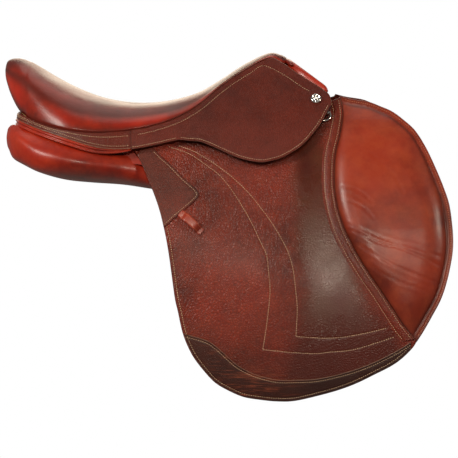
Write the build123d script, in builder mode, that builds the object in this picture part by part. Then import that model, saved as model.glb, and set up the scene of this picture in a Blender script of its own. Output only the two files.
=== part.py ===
from build123d import *
import math
import os

# Jumping saddle, in millimetres. +X is the front (pommel), +Z is up, and the
# right (off) side is at -Y. The origin is the middle of the gullet channel, at
# the height where the panels bear on the horse's back or on a saddle rack.
# The left side is the right side mirrored.

# Side surface: flaps, skirts, billets and tree bars are layers of one ruled
# surface between two arcs, one at each station (y and z of their ends).
rear_station = -140.0
front_station = 310.0
fold_rear = (-126.0, 62.0)
fold_front = (-60.0, 162.0)
hem_rear = (-190.0, -300.0)
hem_front = (-212.0, -300.0)
arc_radius_rear = 900.0
arc_radius_front = 700.0
share_above_fold = 0.72
share_below_hem = 0.04
side_reach = 320.0

# Leather, webbing and wood thicknesses, and clearances
flap_thickness = 4.0
skirt_thickness = 3.5
patch_thickness = 1.6
sweat_flap_thickness = 3.0
billet_thickness = 4.0
web_thickness = 1.9
rail_thickness = 8.5
spring_thickness = 1.2
seat_leather = 3.0
seat_gap = 0.3
glue_gap = 0.2

# Depth of each layer, measured outward from the flap's inner face
skirt_depth = 12.5
rail_outer = -0.5
rail_inner = rail_outer - rail_thickness
web_outer = rail_inner - seat_gap
web_inner = web_outer - web_thickness
sweat_outer = web_inner - seat_gap
sweat_inner = sweat_outer - sweat_flap_thickness
panel_face = sweat_inner - seat_gap
spring_outer = web_inner - seat_gap
billet_inner = web_outer + seat_gap
fold_depth = skirt_depth + skirt_thickness / 2
patch_depth = flap_thickness + glue_gap

# Seat: x, half width at the seam, height of the seam, shoulder and crown
seat_stations = [
    (76.0, 38.0, 182.0, 189.0, 194.0),
    (57.0, 41.5, 190.5, 194.0, 196.0),
    (23.0, 56.5, 174.0, 177.5, 181.0),
    (-13.0, 75.5, 150.0, 154.0, 157.0),
    (-42.0, 91.5, 126.0, 134.0, 140.0),
    (-72.0, 103.0, 108.5, 121.0, 130.0),
    (-109.0, 111.5, 96.5, 113.0, 124.0),
    (-146.0, 117.0, 90.0, 111.0, 125.0),
    (-183.0, 127.0, 88.0, 113.0, 133.0),
    (-218.0, 130.0, 91.0, 121.0, 147.0),
    (-246.0, 120.0, 96.0, 132.0, 162.0),
    (-272.0, 101.0, 104.0, 146.0, 178.0),
    (-293.0, 76.0, 112.0, 160.0, 189.0),
    (-309.0, 49.0, 137.0, 168.0, 190.0),
    (-318.0, 26.0, 160.0, 173.0, 186.0),
]
shoulder_share = 0.84
seam_rear_x = -302.0
seam_rear_z = 113.0
overhang_x = -290.0
wall_lean = 0.35
lining_reach = 4.0
foam_step = 12.5
foam_depth = 12.6
foam_floor = 6.0
cantle_board = 9.0
cantle_window_rear = -212.0
cantle_window_half = 86.0
cantle_window_bow = 60.0

# Cantle band and rear welt, along the rear seam
band_front_x = -135.5
band_thickness = 3.5
band_high = 24.0
band_low = 8.0
band_flare = 5.0
welt_height = 10.4
welt_bulge = 2.6
welt_setback = 2.2
rear_sections = 17

# Pommel: an arch in a plane that slopes down to the front
pommel_top = (80.2, 184.6)
pommel_slope = 36.75
arch_radius = 54.0
arch_spread = 67.0
arch_drop = 5.0
facing_width = 16.0
facing_thickness = 10.0
facing_leg = 37.0
facing_rise = 1.1
head_plate_thickness = 3.0
head_wood_thickness = 8.0
head_width = 26.0
head_plate_leg = 5.0
head_wood_leg = 40.0
gullet_plate_leg = 30.0
head_rivet_angle = 38.0
rivet_diameter = 6.0

# Tree bars and springs
rail_rear_x = -137.0
rail_front_x = 138.0
rail_drop = 12.0
rail_top_drop = 9.0
spring_low = -8.0
spring_high = 12.0
spring_rear_x = -128.0
spring_front_x = 88.0

# Skirt fold: how far the lobe turns over in all, and where the leather ends
lobe_turn = 145.0
skive_reach = 8.0
lobe_rear_x = -70.0
skirt_front_x = 143.0
flap_fold_front_x = 148.0
flap_head_front_x = 0.0
flap_head_height = 14.0

# Stirrup bar, on the tree bar above the fold
bar_x = 62.0
bar_rise = 17.0
bar_foot = 0.4
bar_length = 96.0
bar_height = 18.0
bar_plate_thickness = 2.5
bar_slot = 6.2
blade_length = 76.0
blade_height = 10.0
blade_thickness = 3.2
bar_root_length = 12.0
bar_front = 40.0
catch_width = 9.0
catch_reach = 18.0
catch_pivot = -48.0
catch_pin_diameter = 3.6
bar_rivet_spacing = 50.0

# Billets
billet_width = 25.0
billet_pitch = 46.0
billet_middle_x = 28.0
billet_top_drop = 18.0
billet_length = 305.0
billet_tip = 9.0
hole_diameter = 5.0
hole_pitch = 25.0
hole_count = 7
hole_start = 120.0
web_rise = 8.0
web_drop = 46.0

# Fittings on the flap
keeper_centre = (-52.0, -35.0)
keeper_slope = -42.6
keeper_width = 12.0
keeper_thickness = 2.2
keeper_flat = 5.0
keeper_ramp = 4.0
keeper_span = 20.0
keeper_rise = 6.4
dee_place = (133.0, 111.0)
dee_wire = 3.0
dee_half_width = 8.0
dee_side = 3.0
tab_thickness = 1.2
tab_width = 9.0
tab_tail = 6.5
stud_place = (121.6, 133.2)
stud_diameter = 12.0
stud_height = 4.5
block_thickness = 9.0
block_place = (243.0, -88.0)
block_length = 112.0
block_width = 32.0
block_lean = 72.0
sweat_drop = 10.0
panel_carve_x = -97.0


def station_arc(station):
    """Centre, radius at the flap's inner face and end angles of a station's arc."""
    if station == rear_station:
        top, low, radius = fold_rear, hem_rear, arc_radius_rear
    else:
        top, low, radius = fold_front, hem_front, arc_radius_front
    dy, dz = low[0] - top[0], low[1] - top[1]
    chord = math.hypot(dy, dz)
    lift = math.sqrt(radius**2 - chord**2 / 4)
    centre = (
        (top[0] + low[0]) / 2 - dz / chord * lift,
        (top[1] + low[1]) / 2 + dy / chord * lift,
    )
    start = math.degrees(math.atan2(top[1] - centre[1], top[0] - centre[0])) % 360
    end = math.degrees(math.atan2(low[1] - centre[1], low[0] - centre[0])) % 360
    return centre, radius - fold_depth, start, end


def side_point(x, share, depth):
    """Point of the side surface: share 0 is the fold line and 1 the hem."""
    t = (x - rear_station) / (front_station - rear_station)
    ends = []
    for station in (rear_station, front_station):
        centre, radius, start, end = station_arc(station)
        angle = math.radians(start + share * (end - start))
        ends.append(
            Vector(
                centre[0] + (radius + depth) * math.cos(angle),
                centre[1] + (radius + depth) * math.sin(angle),
            )
        )
    here = ends[0] * (1 - t) + ends[1] * t
    return Vector(x, here.X, here.Y)


def side_share(x, z, depth):
    """Share at which the side surface has height z."""
    low, high = -0.9, 1.2
    for _ in range(50):
        middle = (low + high) / 2
        if side_point(x, middle, depth).Z > z:
            low = middle
        else:
            high = middle
    return low


def side_frame(x, z, depth):
    """Plane on the side surface: x runs forward, y up the sheet and z outward."""
    share = side_share(x, z, depth)
    forward = side_point(x + 1, share, depth) - side_point(x - 1, share, depth)
    up = side_point(x, share - 0.01, depth) - side_point(x, share + 0.01, depth)
    return Plane(
        origin=side_point(x, share, depth), x_dir=forward, z_dir=forward.cross(up)
    )


def side_profiles(inner, outer):
    """Closed profiles of one layer of the side surface, at its two stations."""
    profiles = []
    for station in (rear_station, front_station):
        centre, radius, start, end = station_arc(station)
        first = start - share_above_fold * (end - start)
        sweep_angle = (end - start) * (1 + share_above_fold + share_below_hem)
        with BuildSketch(Plane.YZ.offset(station)) as profile:
            with BuildLine():
                outside = CenterArc(centre, radius + outer, first, sweep_angle)
                inside = CenterArc(centre, radius + inner, first, sweep_angle)
                Line(outside @ 1, inside @ 1)
                Line(inside @ 0, outside @ 0)
            make_face()
        profiles.append(profile.sketch)
    return profiles


def fold_z(x):
    """Height of the fold line at x."""
    t = (x - rear_station) / (front_station - rear_station)
    return fold_rear[1] + (fold_front[1] - fold_rear[1]) * t


def seat_line(half, seam, shoulder, crown):
    """Line over the seat at one station, bulging at the seams."""
    run = half * (1 - shoulder_share) * wall_lean
    wide = half * shoulder_share
    return Spline(
        (-half, seam), (-wide, shoulder), (0, crown), (wide, shoulder), (half, seam),
        tangents=[(run, shoulder - seam), (run, seam - shoulder)],
    )


def floor_line(half, seam, shoulder, crown, drop):
    """Line across the underside of the foam, lowered by drop."""
    wide = half - seat_leather - foam_step - drop
    edge = seam - foam_floor
    under = seat_leather + seat_gap + foam_depth
    side = max(edge, shoulder - under) - drop
    middle = max(edge, crown - under) - drop
    return Spline(
        (-wide, edge - drop), (-wide * shoulder_share, side), (0, middle),
        (wide * shoulder_share, side), (wide, edge - drop),
    )


def cover_profiles(inset):
    """Seat sections, drawn in by inset and then reaching below the seam."""
    profiles = []
    nose, cantle = seat_stations[0][0], seat_stations[-1][0]
    for x, half, seam, shoulder, crown in seat_stations:
        base = seam + (inset if x < overhang_x else -lining_reach if inset else 0)
        with BuildSketch(Plane.YZ.offset(min(max(x, cantle + inset), nose - inset))) as profile:
            with BuildLine():
                over = seat_line(half - inset, base, shoulder - inset, crown - inset)
                Line(over @ 1, over @ 0)
            make_face()
        profiles.append(profile.sketch)
    return profiles


def foam_profiles():
    """Sections of the seat's padding, inside the cover and above its floor."""
    profiles = []
    inset = seat_leather + seat_gap
    for x, half, seam, shoulder, crown in seat_stations[:-2]:
        with BuildSketch(Plane.YZ.offset(min(x, seat_stations[0][0] - inset))) as profile:
            with BuildLine():
                over = seat_line(half - inset, seam - lining_reach, shoulder - inset, crown - inset)
                under = floor_line(half, seam, shoulder, crown, 0)
                Line(over @ 0, under @ 0)
                Line(over @ 1, under @ 1)
            make_face()
        profiles.append(profile.sketch)
    return profiles


def floor_profiles(first, last, thickness):
    """Sections of a layer of this thickness, under the foam."""
    profiles = []
    for x, half, seam, shoulder, crown in seat_stations[first:last]:
        with BuildSketch(Plane.YZ.offset(x)) as profile:
            with BuildLine():
                over = floor_line(half, seam, shoulder, crown, seat_gap)
                under = floor_line(half, seam, shoulder, crown, seat_gap + thickness)
                Line(over @ 0, under @ 0)
                Line(over @ 1, under @ 1)
            make_face()
        profiles.append(profile.sketch)
    return profiles


# Fold frame: x points outward, y down the sheet and z forward along the fold
fold_start = side_point(rear_station, 0, fold_depth)
fold_end = side_point(front_station, 0, fold_depth)
fold_along = (fold_end - fold_start).normalized()
fold_plane = Plane(
    origin=fold_start,
    x_dir=side_frame(0, fold_z(0), fold_depth).z_dir,
    z_dir=fold_along,
)


def fold_reach(x):
    """Distance along the fold line from its rear end to x."""
    return (x - rear_station) / fold_along.X


# Above and below the fold, and the skived edge that lets the lobe turn over
with BuildPart() as above_fold:
    with BuildSketch(fold_plane):
        Rectangle(120, 90, align=(Align.CENTER, Align.MAX))
    extrude(amount=fold_reach(flap_fold_front_x))

with BuildPart() as below_fold:
    with BuildSketch(fold_plane.offset(-20)):
        with Locations((0, -seat_gap)):
            Rectangle(120, 300, align=(Align.CENTER, Align.MIN))
    extrude(amount=fold_reach(front_station) + 40)

with BuildPart() as skived_edge:
    turned = math.radians(lobe_turn)
    lean = skirt_thickness / 2 + seat_gap
    ends = [
        (x, (x * math.cos(turned) - lean) / math.sin(turned)) for x in (-skive_reach, skive_reach)
    ]
    with BuildSketch(fold_plane.offset(-20)):
        Polygon(*ends, (60, ends[1][1]), (60, 120), (-skive_reach, 120), align=None)
    extrude(amount=fold_reach(front_station))

# Flap outline, from the skirt's rear corner round the hem to the knee
flap_outline = [
    (-134, 68), (-104, 5), (-82, -81), (-63, -181), (-20, -250), (66, -276),
    (174, -250), (255, -193), (297, -110), (306, -50), (295, 14), (259, 90),
    (212, 123), (156, 137),
]

with BuildPart() as right_flap:
    loft(side_profiles(0, flap_thickness), ruled=True)
    with BuildSketch(Plane.XZ):
        with BuildLine():
            edge = Spline(*flap_outline)
            Polyline(edge @ 1, (150, 128), (-134, 110), edge @ 0)
        make_face()
    extrude(amount=side_reach, mode=Mode.INTERSECT)
    add(above_fold.part, mode=Mode.SUBTRACT)

with BuildPart() as right_flap_head:
    loft(side_profiles(0, flap_thickness), ruled=True)
    with BuildSketch(Plane.XZ):
        Polygon(
            (-116, fold_z(-116) - 20), (0, fold_z(0) - 20),
            (0, fold_z(0) + 8), (-116, fold_z(-116) + 8), align=None,
        )
    extrude(amount=side_reach, mode=Mode.INTERSECT)
    add(below_fold.part, mode=Mode.SUBTRACT)

with BuildPart() as right_rear_patch:
    loft(side_profiles(patch_depth, patch_depth + patch_thickness), ruled=True)
    with BuildSketch(Plane.XZ):
        with BuildLine():
            rear_edge = Spline((-124, 58), (-111, 24), (-88, -38))
            upper = Spline((-106, 66), (-79, 42), (-47, 14))
            lower = Spline((-46, -4), (-62, -17), (-88, -38))
            ThreePointArc(upper @ 1, (-40, 5), lower @ 0)
            Line(rear_edge @ 0, upper @ 0)
        make_face()
    extrude(amount=side_reach, mode=Mode.INTERSECT)
    add(above_fold.part, mode=Mode.SUBTRACT)

with BuildPart() as right_lower_guard:
    loft(side_profiles(patch_depth, patch_depth + patch_thickness), ruled=True)
    with BuildSketch(Plane.XZ):
        with BuildLine():
            seam = Spline((-61, -184), (-18, -203), (30, -237), (89, -246), (170, -231), (245, -193))
            hem = Spline((-61, -184), (-49, -212), (-20, -247), (66, -273), (174, -247), (245, -198))
            Line(seam @ 1, hem @ 1)
        make_face()
    extrude(amount=side_reach, mode=Mode.INTERSECT)

# Knee pad: height, rear and front edge, and crown above the flap
knee_sections = [
    (134, 157, 168, 2), (126, 158, 204, 6), (105, 158, 243, 10), (60, 148, 277, 13),
    (11, 145, 295, 15), (-41, 157, 304.5, 16), (-90, 183, 301, 14), (-140, 216, 285, 10),
    (-175, 240, 264, 5), (-188, 250, 257, 2),
]
knee_crown = [(0.07, 0.55), (0.28, 0.92), (0.6, 1.0), (0.88, 0.7)]

with BuildPart() as right_knee_pad:
    for z, x_in, x_out, crown in knee_sections:
        with BuildSketch(Plane.XY.offset(z)):
            with BuildLine():
                rise = [(0, -1), *knee_crown, (1, -1)]
                points = []
                for share, height in rise:
                    x = x_in + share * (x_out - x_in)
                    depth = patch_depth + (crown * height if height > 0 else -3)
                    here = side_point(x, side_share(x, z, depth), depth)
                    points.append((here.X, here.Y))
                over = Spline(*points)
                Line(over @ 1, over @ 0)
            make_face()
    loft()
    loft(side_profiles(-30, patch_depth), ruled=True, mode=Mode.SUBTRACT)

# Seat cover: one closed skin, open below inside its seam
with BuildPart() as seat_cover:
    loft(cover_profiles(0))
    loft(cover_profiles(seat_leather), mode=Mode.SUBTRACT)

# Skirt: the upper part is sewn to the seat, and the lobe hangs from the fold
with BuildPart() as right_upper_skirt:
    loft(side_profiles(skirt_depth, skirt_depth + skirt_thickness), ruled=True)
    with BuildSketch(Plane.XZ):
        with BuildLine():
            seam = Spline(
                *[(x, z - seat_gap) for x, _, z, _, _ in reversed(seat_stations[1:8])],
                (72, 186),
            )
            front = Spline((72, 186), (109, 161), (skirt_front_x - 4, 141))
            corner = ThreePointArc(front @ 1, (skirt_front_x - 0.5, 136), (skirt_front_x, 127))
            Polyline(corner @ 1, (skirt_front_x, 60), (-150, 30), seam @ 0)
        make_face()
    extrude(amount=side_reach, mode=Mode.INTERSECT)
    with BuildSketch(Plane.YZ.offset(band_front_x + seat_gap)):
        Rectangle(600, 600)
    extrude(amount=-60, mode=Mode.SUBTRACT)
    add(skived_edge.part, mode=Mode.SUBTRACT)
    add(seat_cover.part, mode=Mode.SUBTRACT)

with BuildPart() as right_skirt_lobe:
    loft(side_profiles(skirt_depth, skirt_depth + skirt_thickness), ruled=True)
    with BuildSketch(Plane.XZ):
        with BuildLine():
            edge = Spline(
                (lobe_rear_x, 75), (-40, 75), (-8, 62), (24, 50), (50, 47), (86, 60),
                (115, 84), (138, 118), (skirt_front_x, 130),
            )
            Polyline(
                edge @ 1, (skirt_front_x, fold_z(skirt_front_x) + 8),
                (lobe_rear_x, fold_z(lobe_rear_x) + 8), edge @ 0,
            )
        make_face()
    extrude(amount=side_reach, mode=Mode.INTERSECT)
    add(above_fold.part, mode=Mode.SUBTRACT)
    with BuildSketch(fold_plane.offset(fold_reach(lobe_rear_x))):
        Circle(skirt_thickness / 2)
    extrude(amount=fold_reach(skirt_front_x - 1) - fold_reach(lobe_rear_x))

# Rear seam, from the skirt's end round the cantle to the other side
with BuildLine() as rear_seam:
    right_half = [(band_front_x, -115.5, 91.0)]
    right_half += [(x, -half, z) for x, half, z, _, _ in seat_stations[7:13]]
    left_half = [(x, -y, z) for x, y, z in reversed(right_half)]
    Spline(*right_half, (seam_rear_x, 0, seam_rear_z), *left_half)


def rear_frame(share):
    """Plane across the rear seam: x points outward and y up."""
    along = rear_seam.line % share
    along = Vector(along.X, along.Y, 0)
    return Plane(origin=rear_seam.line @ share, x_dir=along.cross(Vector(0, 0, 1)) * -1, z_dir=along)


def band_height(x):
    """Height of the cantle band, tall beside the seat and low at the rear."""
    t = min(max((x + 255) / 110, 0), 1)
    return band_low + (band_high - band_low) * t * t * (3 - 2 * t)


with BuildPart() as cantle_band:
    for i in range(rear_sections):
        across = rear_frame(i / (rear_sections - 1))
        tall = band_height(across.origin.X)
        flare = band_flare * tall / band_high
        with BuildSketch(across):
            Polygon(
                (-band_thickness, -seat_gap), (0, -seat_gap),
                (flare, -tall), (flare - band_thickness, -tall), align=None,
            )
    loft()
    add(seat_cover.part, mode=Mode.SUBTRACT)
    add(right_upper_skirt.part, mode=Mode.SUBTRACT)
    add(mirror(right_upper_skirt.part, about=Plane.XZ, mode=Mode.PRIVATE), mode=Mode.SUBTRACT)

with BuildPart() as rear_welt:
    for i in range(rear_sections):
        share = i / (rear_sections - 1)
        across = rear_frame(share)
        tall = band_height(across.origin.X)
        start = band_flare * tall / band_high - welt_setback
        size = min(1, 0.35 + 6 * min(share, 1 - share))
        top = -tall - seat_gap
        with BuildSketch(across):
            with BuildLine():
                upper = ThreePointArc(
                    (start - 2 * size, top),
                    (start + welt_bulge * size, top - welt_height * size / 4),
                    (start + size, top - welt_height * size / 2),
                )
                lower = ThreePointArc(
                    upper @ 1,
                    (start + welt_bulge * size, top - welt_height * size * 3 / 4),
                    (start - 2 * size, top - welt_height * size),
                )
                Line(lower @ 1, upper @ 0)
            make_face()
    loft()
    add(cantle_band.part, mode=Mode.SUBTRACT)

with BuildPart() as seat_foam:
    loft(foam_profiles())
    add(seat_cover.part, mode=Mode.SUBTRACT)
    add(cantle_band.part, mode=Mode.SUBTRACT)


def arch_line(inset, setback, leg):
    """Pommel arch, drawn in towards the horse by inset, with straight legs."""
    lean = math.radians(pommel_slope)
    plane = Plane(
        origin=(
            pommel_top[0] - setback * math.sin(lean), 0,
            pommel_top[1] - setback * math.cos(lean),
        ),
        x_dir=(0, -1, 0),
        z_dir=(math.sin(lean), 0, math.cos(lean)),
    )
    with BuildLine(plane) as line:
        arc = CenterArc(
            (0, arch_drop + arch_radius), arch_radius - inset, -90 - arch_spread, 2 * arch_spread
        )
        if leg:
            PolarLine(arc @ 1, leg, arch_spread)
            PolarLine(arc @ 0, leg, 180 - arch_spread)
    return line.wire(), plane.z_dir


def arch_strip(inset, setback, leg, thickness, width, corner):
    """Strip swept along the pommel arch, inset to its middle."""
    wire, normal = arch_line(inset, setback, leg)
    with BuildPart() as strip:
        with BuildSketch(Plane(origin=wire @ 0, x_dir=normal, z_dir=wire % 0)):
            if corner:
                RectangleRounded(width, thickness, corner)
            else:
                Rectangle(width, thickness)
        sweep(path=wire)
    return strip.part


plate_inset = facing_thickness / 2 + seat_gap + head_plate_thickness / 2
wood_inset = plate_inset + (head_plate_thickness + head_wood_thickness) / 2 + glue_gap
under_inset = wood_inset + (head_plate_thickness + head_wood_thickness) / 2 + glue_gap
head_setback = (facing_width + head_width) / 2 + seat_gap

with BuildPart() as pommel_facing:
    add(arch_strip(-facing_rise, 0, facing_leg, facing_thickness, facing_width, 4.5))
    add(right_upper_skirt.part, mode=Mode.SUBTRACT)
    add(mirror(right_upper_skirt.part, about=Plane.XZ, mode=Mode.PRIVATE), mode=Mode.SUBTRACT)
    add(seat_cover.part, mode=Mode.SUBTRACT)

with BuildPart() as tree_rivets:
    wire, normal = arch_line(plate_inset - head_plate_thickness / 2, head_setback, 0)
    for turn in (-head_rivet_angle, head_rivet_angle):
        spot = wire.position_at(0.5 + turn / (2 * arch_spread))
        along = wire.tangent_at(0.5 + turn / (2 * arch_spread))
        with BuildSketch(Plane(origin=spot, x_dir=normal, z_dir=normal.cross(along))):
            Circle(rivet_diameter / 2)
        extrude(amount=under_inset - plate_inset + head_plate_thickness)

with BuildPart() as head_plate:
    add(arch_strip(plate_inset, head_setback, head_plate_leg, head_plate_thickness, head_width, 0))
    add(tree_rivets.part, mode=Mode.SUBTRACT)

with BuildPart() as gullet_plate:
    add(arch_strip(under_inset, head_setback, gullet_plate_leg, head_plate_thickness, head_width, 0))
    add(tree_rivets.part, mode=Mode.SUBTRACT)

# Stirrup bar: plate, root and blade, with a catch that closes its rear end
bar_plane = side_frame(bar_x, fold_z(bar_x) + bar_rise, rail_outer)
blade_floor = bar_foot + bar_plate_thickness + bar_slot

with BuildPart() as right_bar_rivets:
    with BuildSketch(bar_plane.offset(-rail_thickness)):
        with Locations((bar_front - bar_length / 2, 0)):
            with GridLocations(bar_rivet_spacing, 0, 2, 1):
                Circle(rivet_diameter / 2)
    extrude(amount=rail_thickness + bar_foot + bar_plate_thickness)

with BuildPart() as right_catch_pin:
    with BuildSketch(bar_plane.offset(bar_foot)):
        with Locations((catch_pivot, 0)):
            Circle(catch_pin_diameter / 2)
    extrude(amount=bar_plate_thickness + bar_slot - seat_gap)

with BuildPart() as right_stirrup_bar:
    with BuildSketch(bar_plane.offset(bar_foot)):
        with Locations((bar_front - bar_length / 2, 0)):
            RectangleRounded(bar_length, bar_height, 5)
    extrude(amount=bar_plate_thickness)
    with BuildSketch(bar_plane.offset(bar_foot + bar_plate_thickness)):
        with Locations((bar_front - bar_root_length / 2, 0)):
            Rectangle(bar_root_length, blade_height)
    extrude(amount=bar_slot)
    with BuildSketch(bar_plane.offset(blade_floor)):
        with Locations((bar_front - blade_length / 2, 0)):
            RectangleRounded(blade_length, blade_height, 4)
    extrude(amount=blade_thickness)
    add(right_bar_rivets.part, mode=Mode.SUBTRACT)
    add(right_catch_pin.part, mode=Mode.SUBTRACT)

with BuildPart() as right_bar_catch:
    with BuildSketch(bar_plane.offset(bar_foot + bar_plate_thickness + seat_gap)):
        with Locations((catch_pivot + (catch_reach - catch_width / 2) / 2, 0)):
            SlotOverall(catch_reach + catch_width / 2, catch_width)
        with Locations((catch_pivot, 0)):
            Circle(catch_pin_diameter / 2 + glue_gap, mode=Mode.SUBTRACT)
    extrude(amount=bar_slot - 2 * seat_gap)

def window(inset):
    """Opening of the cantle board, drawn in by inset."""
    half = cantle_window_half - inset
    rear, side = cantle_window_rear + inset, cantle_window_rear + cantle_window_bow
    with BuildSketch(Plane.XY) as sketch:
        with BuildLine():
            Polyline((side, -half), (0, -half), (0, half), (side, half))
            ThreePointArc((side, half), (rear, 0), (side, -half))
        make_face()
    return sketch.sketch


# Tree: bars, cantle board with its open seat, and the head
with BuildPart() as cantle_frame:
    loft(floor_profiles(6, 13, cantle_board))
    extrude(window(0), amount=140, mode=Mode.SUBTRACT)

with BuildPart() as tree:
    loft(side_profiles(rail_inner, rail_outer), ruled=True)
    with BuildSketch(Plane.XZ):
        with BuildLine():
            top = Spline(
                (rail_rear_x, 90 - rail_top_drop),
                *[(x, z - rail_top_drop) for x, _, z, _, _ in reversed(seat_stations[1:7])],
            )
            Polyline(
                top @ 1, (75, 175), (134, 132), (rail_front_x, fold_z(rail_front_x) - rail_drop),
                (rail_rear_x, fold_z(rail_rear_x) - rail_drop), top @ 0,
            )
        make_face()
    extrude(amount=side_reach, mode=Mode.INTERSECT)
    mirror(about=Plane.XZ)
    add(arch_strip(wood_inset, head_setback, head_wood_leg, head_wood_thickness, head_width, 0))
    add(cantle_frame.part)
    for piece in (head_plate, gullet_plate, tree_rivets, right_bar_rivets):
        add(piece.part, mode=Mode.SUBTRACT)
    add(mirror(right_bar_rivets.part, about=Plane.XZ, mode=Mode.PRIVATE), mode=Mode.SUBTRACT)
    add(seat_foam.part, mode=Mode.SUBTRACT)
    add(seat_cover.part, mode=Mode.SUBTRACT)

with BuildPart() as right_spring:
    loft(side_profiles(spring_outer - spring_thickness, spring_outer), ruled=True)
    with BuildSketch(Plane.XZ):
        Polygon(
            (spring_rear_x, fold_z(spring_rear_x) + spring_low),
            (spring_front_x, fold_z(spring_front_x) + spring_low),
            (spring_front_x, fold_z(spring_front_x) + spring_high),
            (spring_rear_x, fold_z(spring_rear_x) + spring_high), align=None,
        )
    extrude(amount=side_reach, mode=Mode.INTERSECT)
    add(tree.part, mode=Mode.SUBTRACT)

with BuildPart() as seat_webbing:
    loft(floor_profiles(3, 10, web_thickness))
    extrude(window(seat_gap), amount=200, mode=Mode.INTERSECT)
    add(seat_foam.part, mode=Mode.SUBTRACT)
    add(tree.part, mode=Mode.SUBTRACT)

# Under-flap, with its block, web and girth straps
with BuildPart() as right_sweat_flap:
    loft(side_profiles(sweat_inner, sweat_outer), ruled=True)
    with BuildSketch(Plane.XZ):
        with BuildLine():
            edge = Spline(
                (-92, fold_z(-92) - sweat_drop), (-74, -20), (-58, -120), (-36, -195), (8, -236),
                (80, -252), (165, -234), (228, -186), (268, -120), (282, -45), (268, 25),
                (232, 85), (190, 108), (150, fold_z(150) - sweat_drop),
            )
            Line(edge @ 1, edge @ 0)
        make_face()
    extrude(amount=side_reach, mode=Mode.INTERSECT)

with BuildPart() as right_knee_block:
    loft(
        side_profiles(sweat_outer + glue_gap, sweat_outer + glue_gap + block_thickness),
        ruled=True,
    )
    with BuildSketch(Plane.XZ):
        with Locations(block_place):
            SlotOverall(block_length, block_width, rotation=block_lean)
    extrude(amount=side_reach, mode=Mode.INTERSECT)

with BuildPart() as right_billet_web:
    loft(side_profiles(web_inner, web_outer), ruled=True)
    reach = billet_pitch + billet_width / 2 + 6
    with BuildSketch(Plane.XZ):
        Polygon(
            *[
                (x, fold_z(x) + rise)
                for x, rise in (
                    (billet_middle_x - reach, web_rise), (billet_middle_x - reach, -web_drop),
                    (billet_middle_x + reach, -web_drop), (billet_middle_x + reach, web_rise),
                )
            ],
            align=None,
        )
    extrude(amount=side_reach, mode=Mode.INTERSECT)


def billet(x):
    """Girth strap at x, with a pointed end and a row of buckle holes."""
    top = fold_z(x) - billet_top_drop
    half = billet_width / 2
    with BuildPart() as strap:
        loft(side_profiles(billet_inner, billet_inner + billet_thickness), ruled=True)
        with BuildSketch(Plane.XZ):
            Polygon(
                (x - half, top), (x - half, top - billet_length + billet_tip),
                (x - half / 3, top - billet_length), (x + half / 3, top - billet_length),
                (x + half, top - billet_length + billet_tip), (x + half, top), align=None,
            )
        extrude(amount=side_reach, mode=Mode.INTERSECT)
        with BuildSketch(Plane.XZ):
            for i in range(hole_count):
                with Locations((x, top - hole_start - i * hole_pitch)):
                    Circle(hole_diameter / 2)
        extrude(amount=side_reach, mode=Mode.SUBTRACT)
    return strap


right_billet_front = billet(billet_middle_x + billet_pitch)
right_billet_middle = billet(billet_middle_x)
right_billet_rear = billet(billet_middle_x - billet_pitch)

# Panels: x, inner top z, outer top, outer middle, lower outside and bearing
# line (y and z of each), and z of the inner lower corner
gullet_half = 30.0
panel_stations = [
    (-311, 88, (60, 93), (77, 81), (70, 68), (56, 62), 68),
    (-304, 86, (68, 98), (93, 82), (88, 58), (62, 49), 56),
    (-290, 80, (82, 96), (111, 76), (104, 46), (68, 35), 43),
    (-265, 72, (106, 86), (131, 62), (121, 30), (72, 20), 30),
    (-230, 66, (126, 74), (143, 49), (128, 20), (74, 10), 22),
    (-192, 62, (132, 62), (143, 41), (126, 16), (74, 6), 18),
    (-150, 58, (119, 57), (131, 35), (118, 13), (74, 3), 15),
    (-115, 56, (101, 56), (114, 31), (109, 10), (74, 1), 12),
    (-60, 58, (104, 60), (121, 24), (114, 4), (73, 0), 12),
    (0, 62, (102, 70), (126, 20), (120, -8), (76, 1), 16),
    (60, 72, (96, 84), (132, 15), (130, -30), (86, 8), 34),
    (106, 84, (90, 94), (131, 10), (134, -42), (98, 12), 56),
    (136, 91, (85, 97), (124, 22), (129, -18), (104, 22), 67),
    (156, 96, (81, 100), (110, 46), (115, 16), (98, 38), 77),
    (166, 99, (76, 102), (92, 88), (93, 70), (80, 68), 82),
]

with BuildPart() as right_panel:
    for x, inner_z, top, middle, low, bearing, corner_z in panel_stations:
        corner = gullet_half + max(0, x - 60) / 6 + max(0, -x - 290) / 2
        with BuildSketch(Plane.YZ.offset(x)):
            with BuildLine():
                outside = Spline(
                    *[(-y, z) for y, z in (top, middle, low, bearing)], (-corner - 2, corner_z)
                )
                Polyline(outside @ 1, (-corner, inner_z), outside @ 0)
            make_face()
    loft()
    with BuildPart(mode=Mode.PRIVATE) as carve:
        loft(side_profiles(panel_face, panel_face + 90), ruled=True)
        with BuildSketch(Plane.YZ.offset(panel_carve_x)):
            Rectangle(900, 900)
        extrude(amount=-90, mode=Mode.SUBTRACT)
    add(carve.part, mode=Mode.SUBTRACT)
    add(rear_welt.part, mode=Mode.SUBTRACT)
    add(tree.part, mode=Mode.SUBTRACT)

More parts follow.
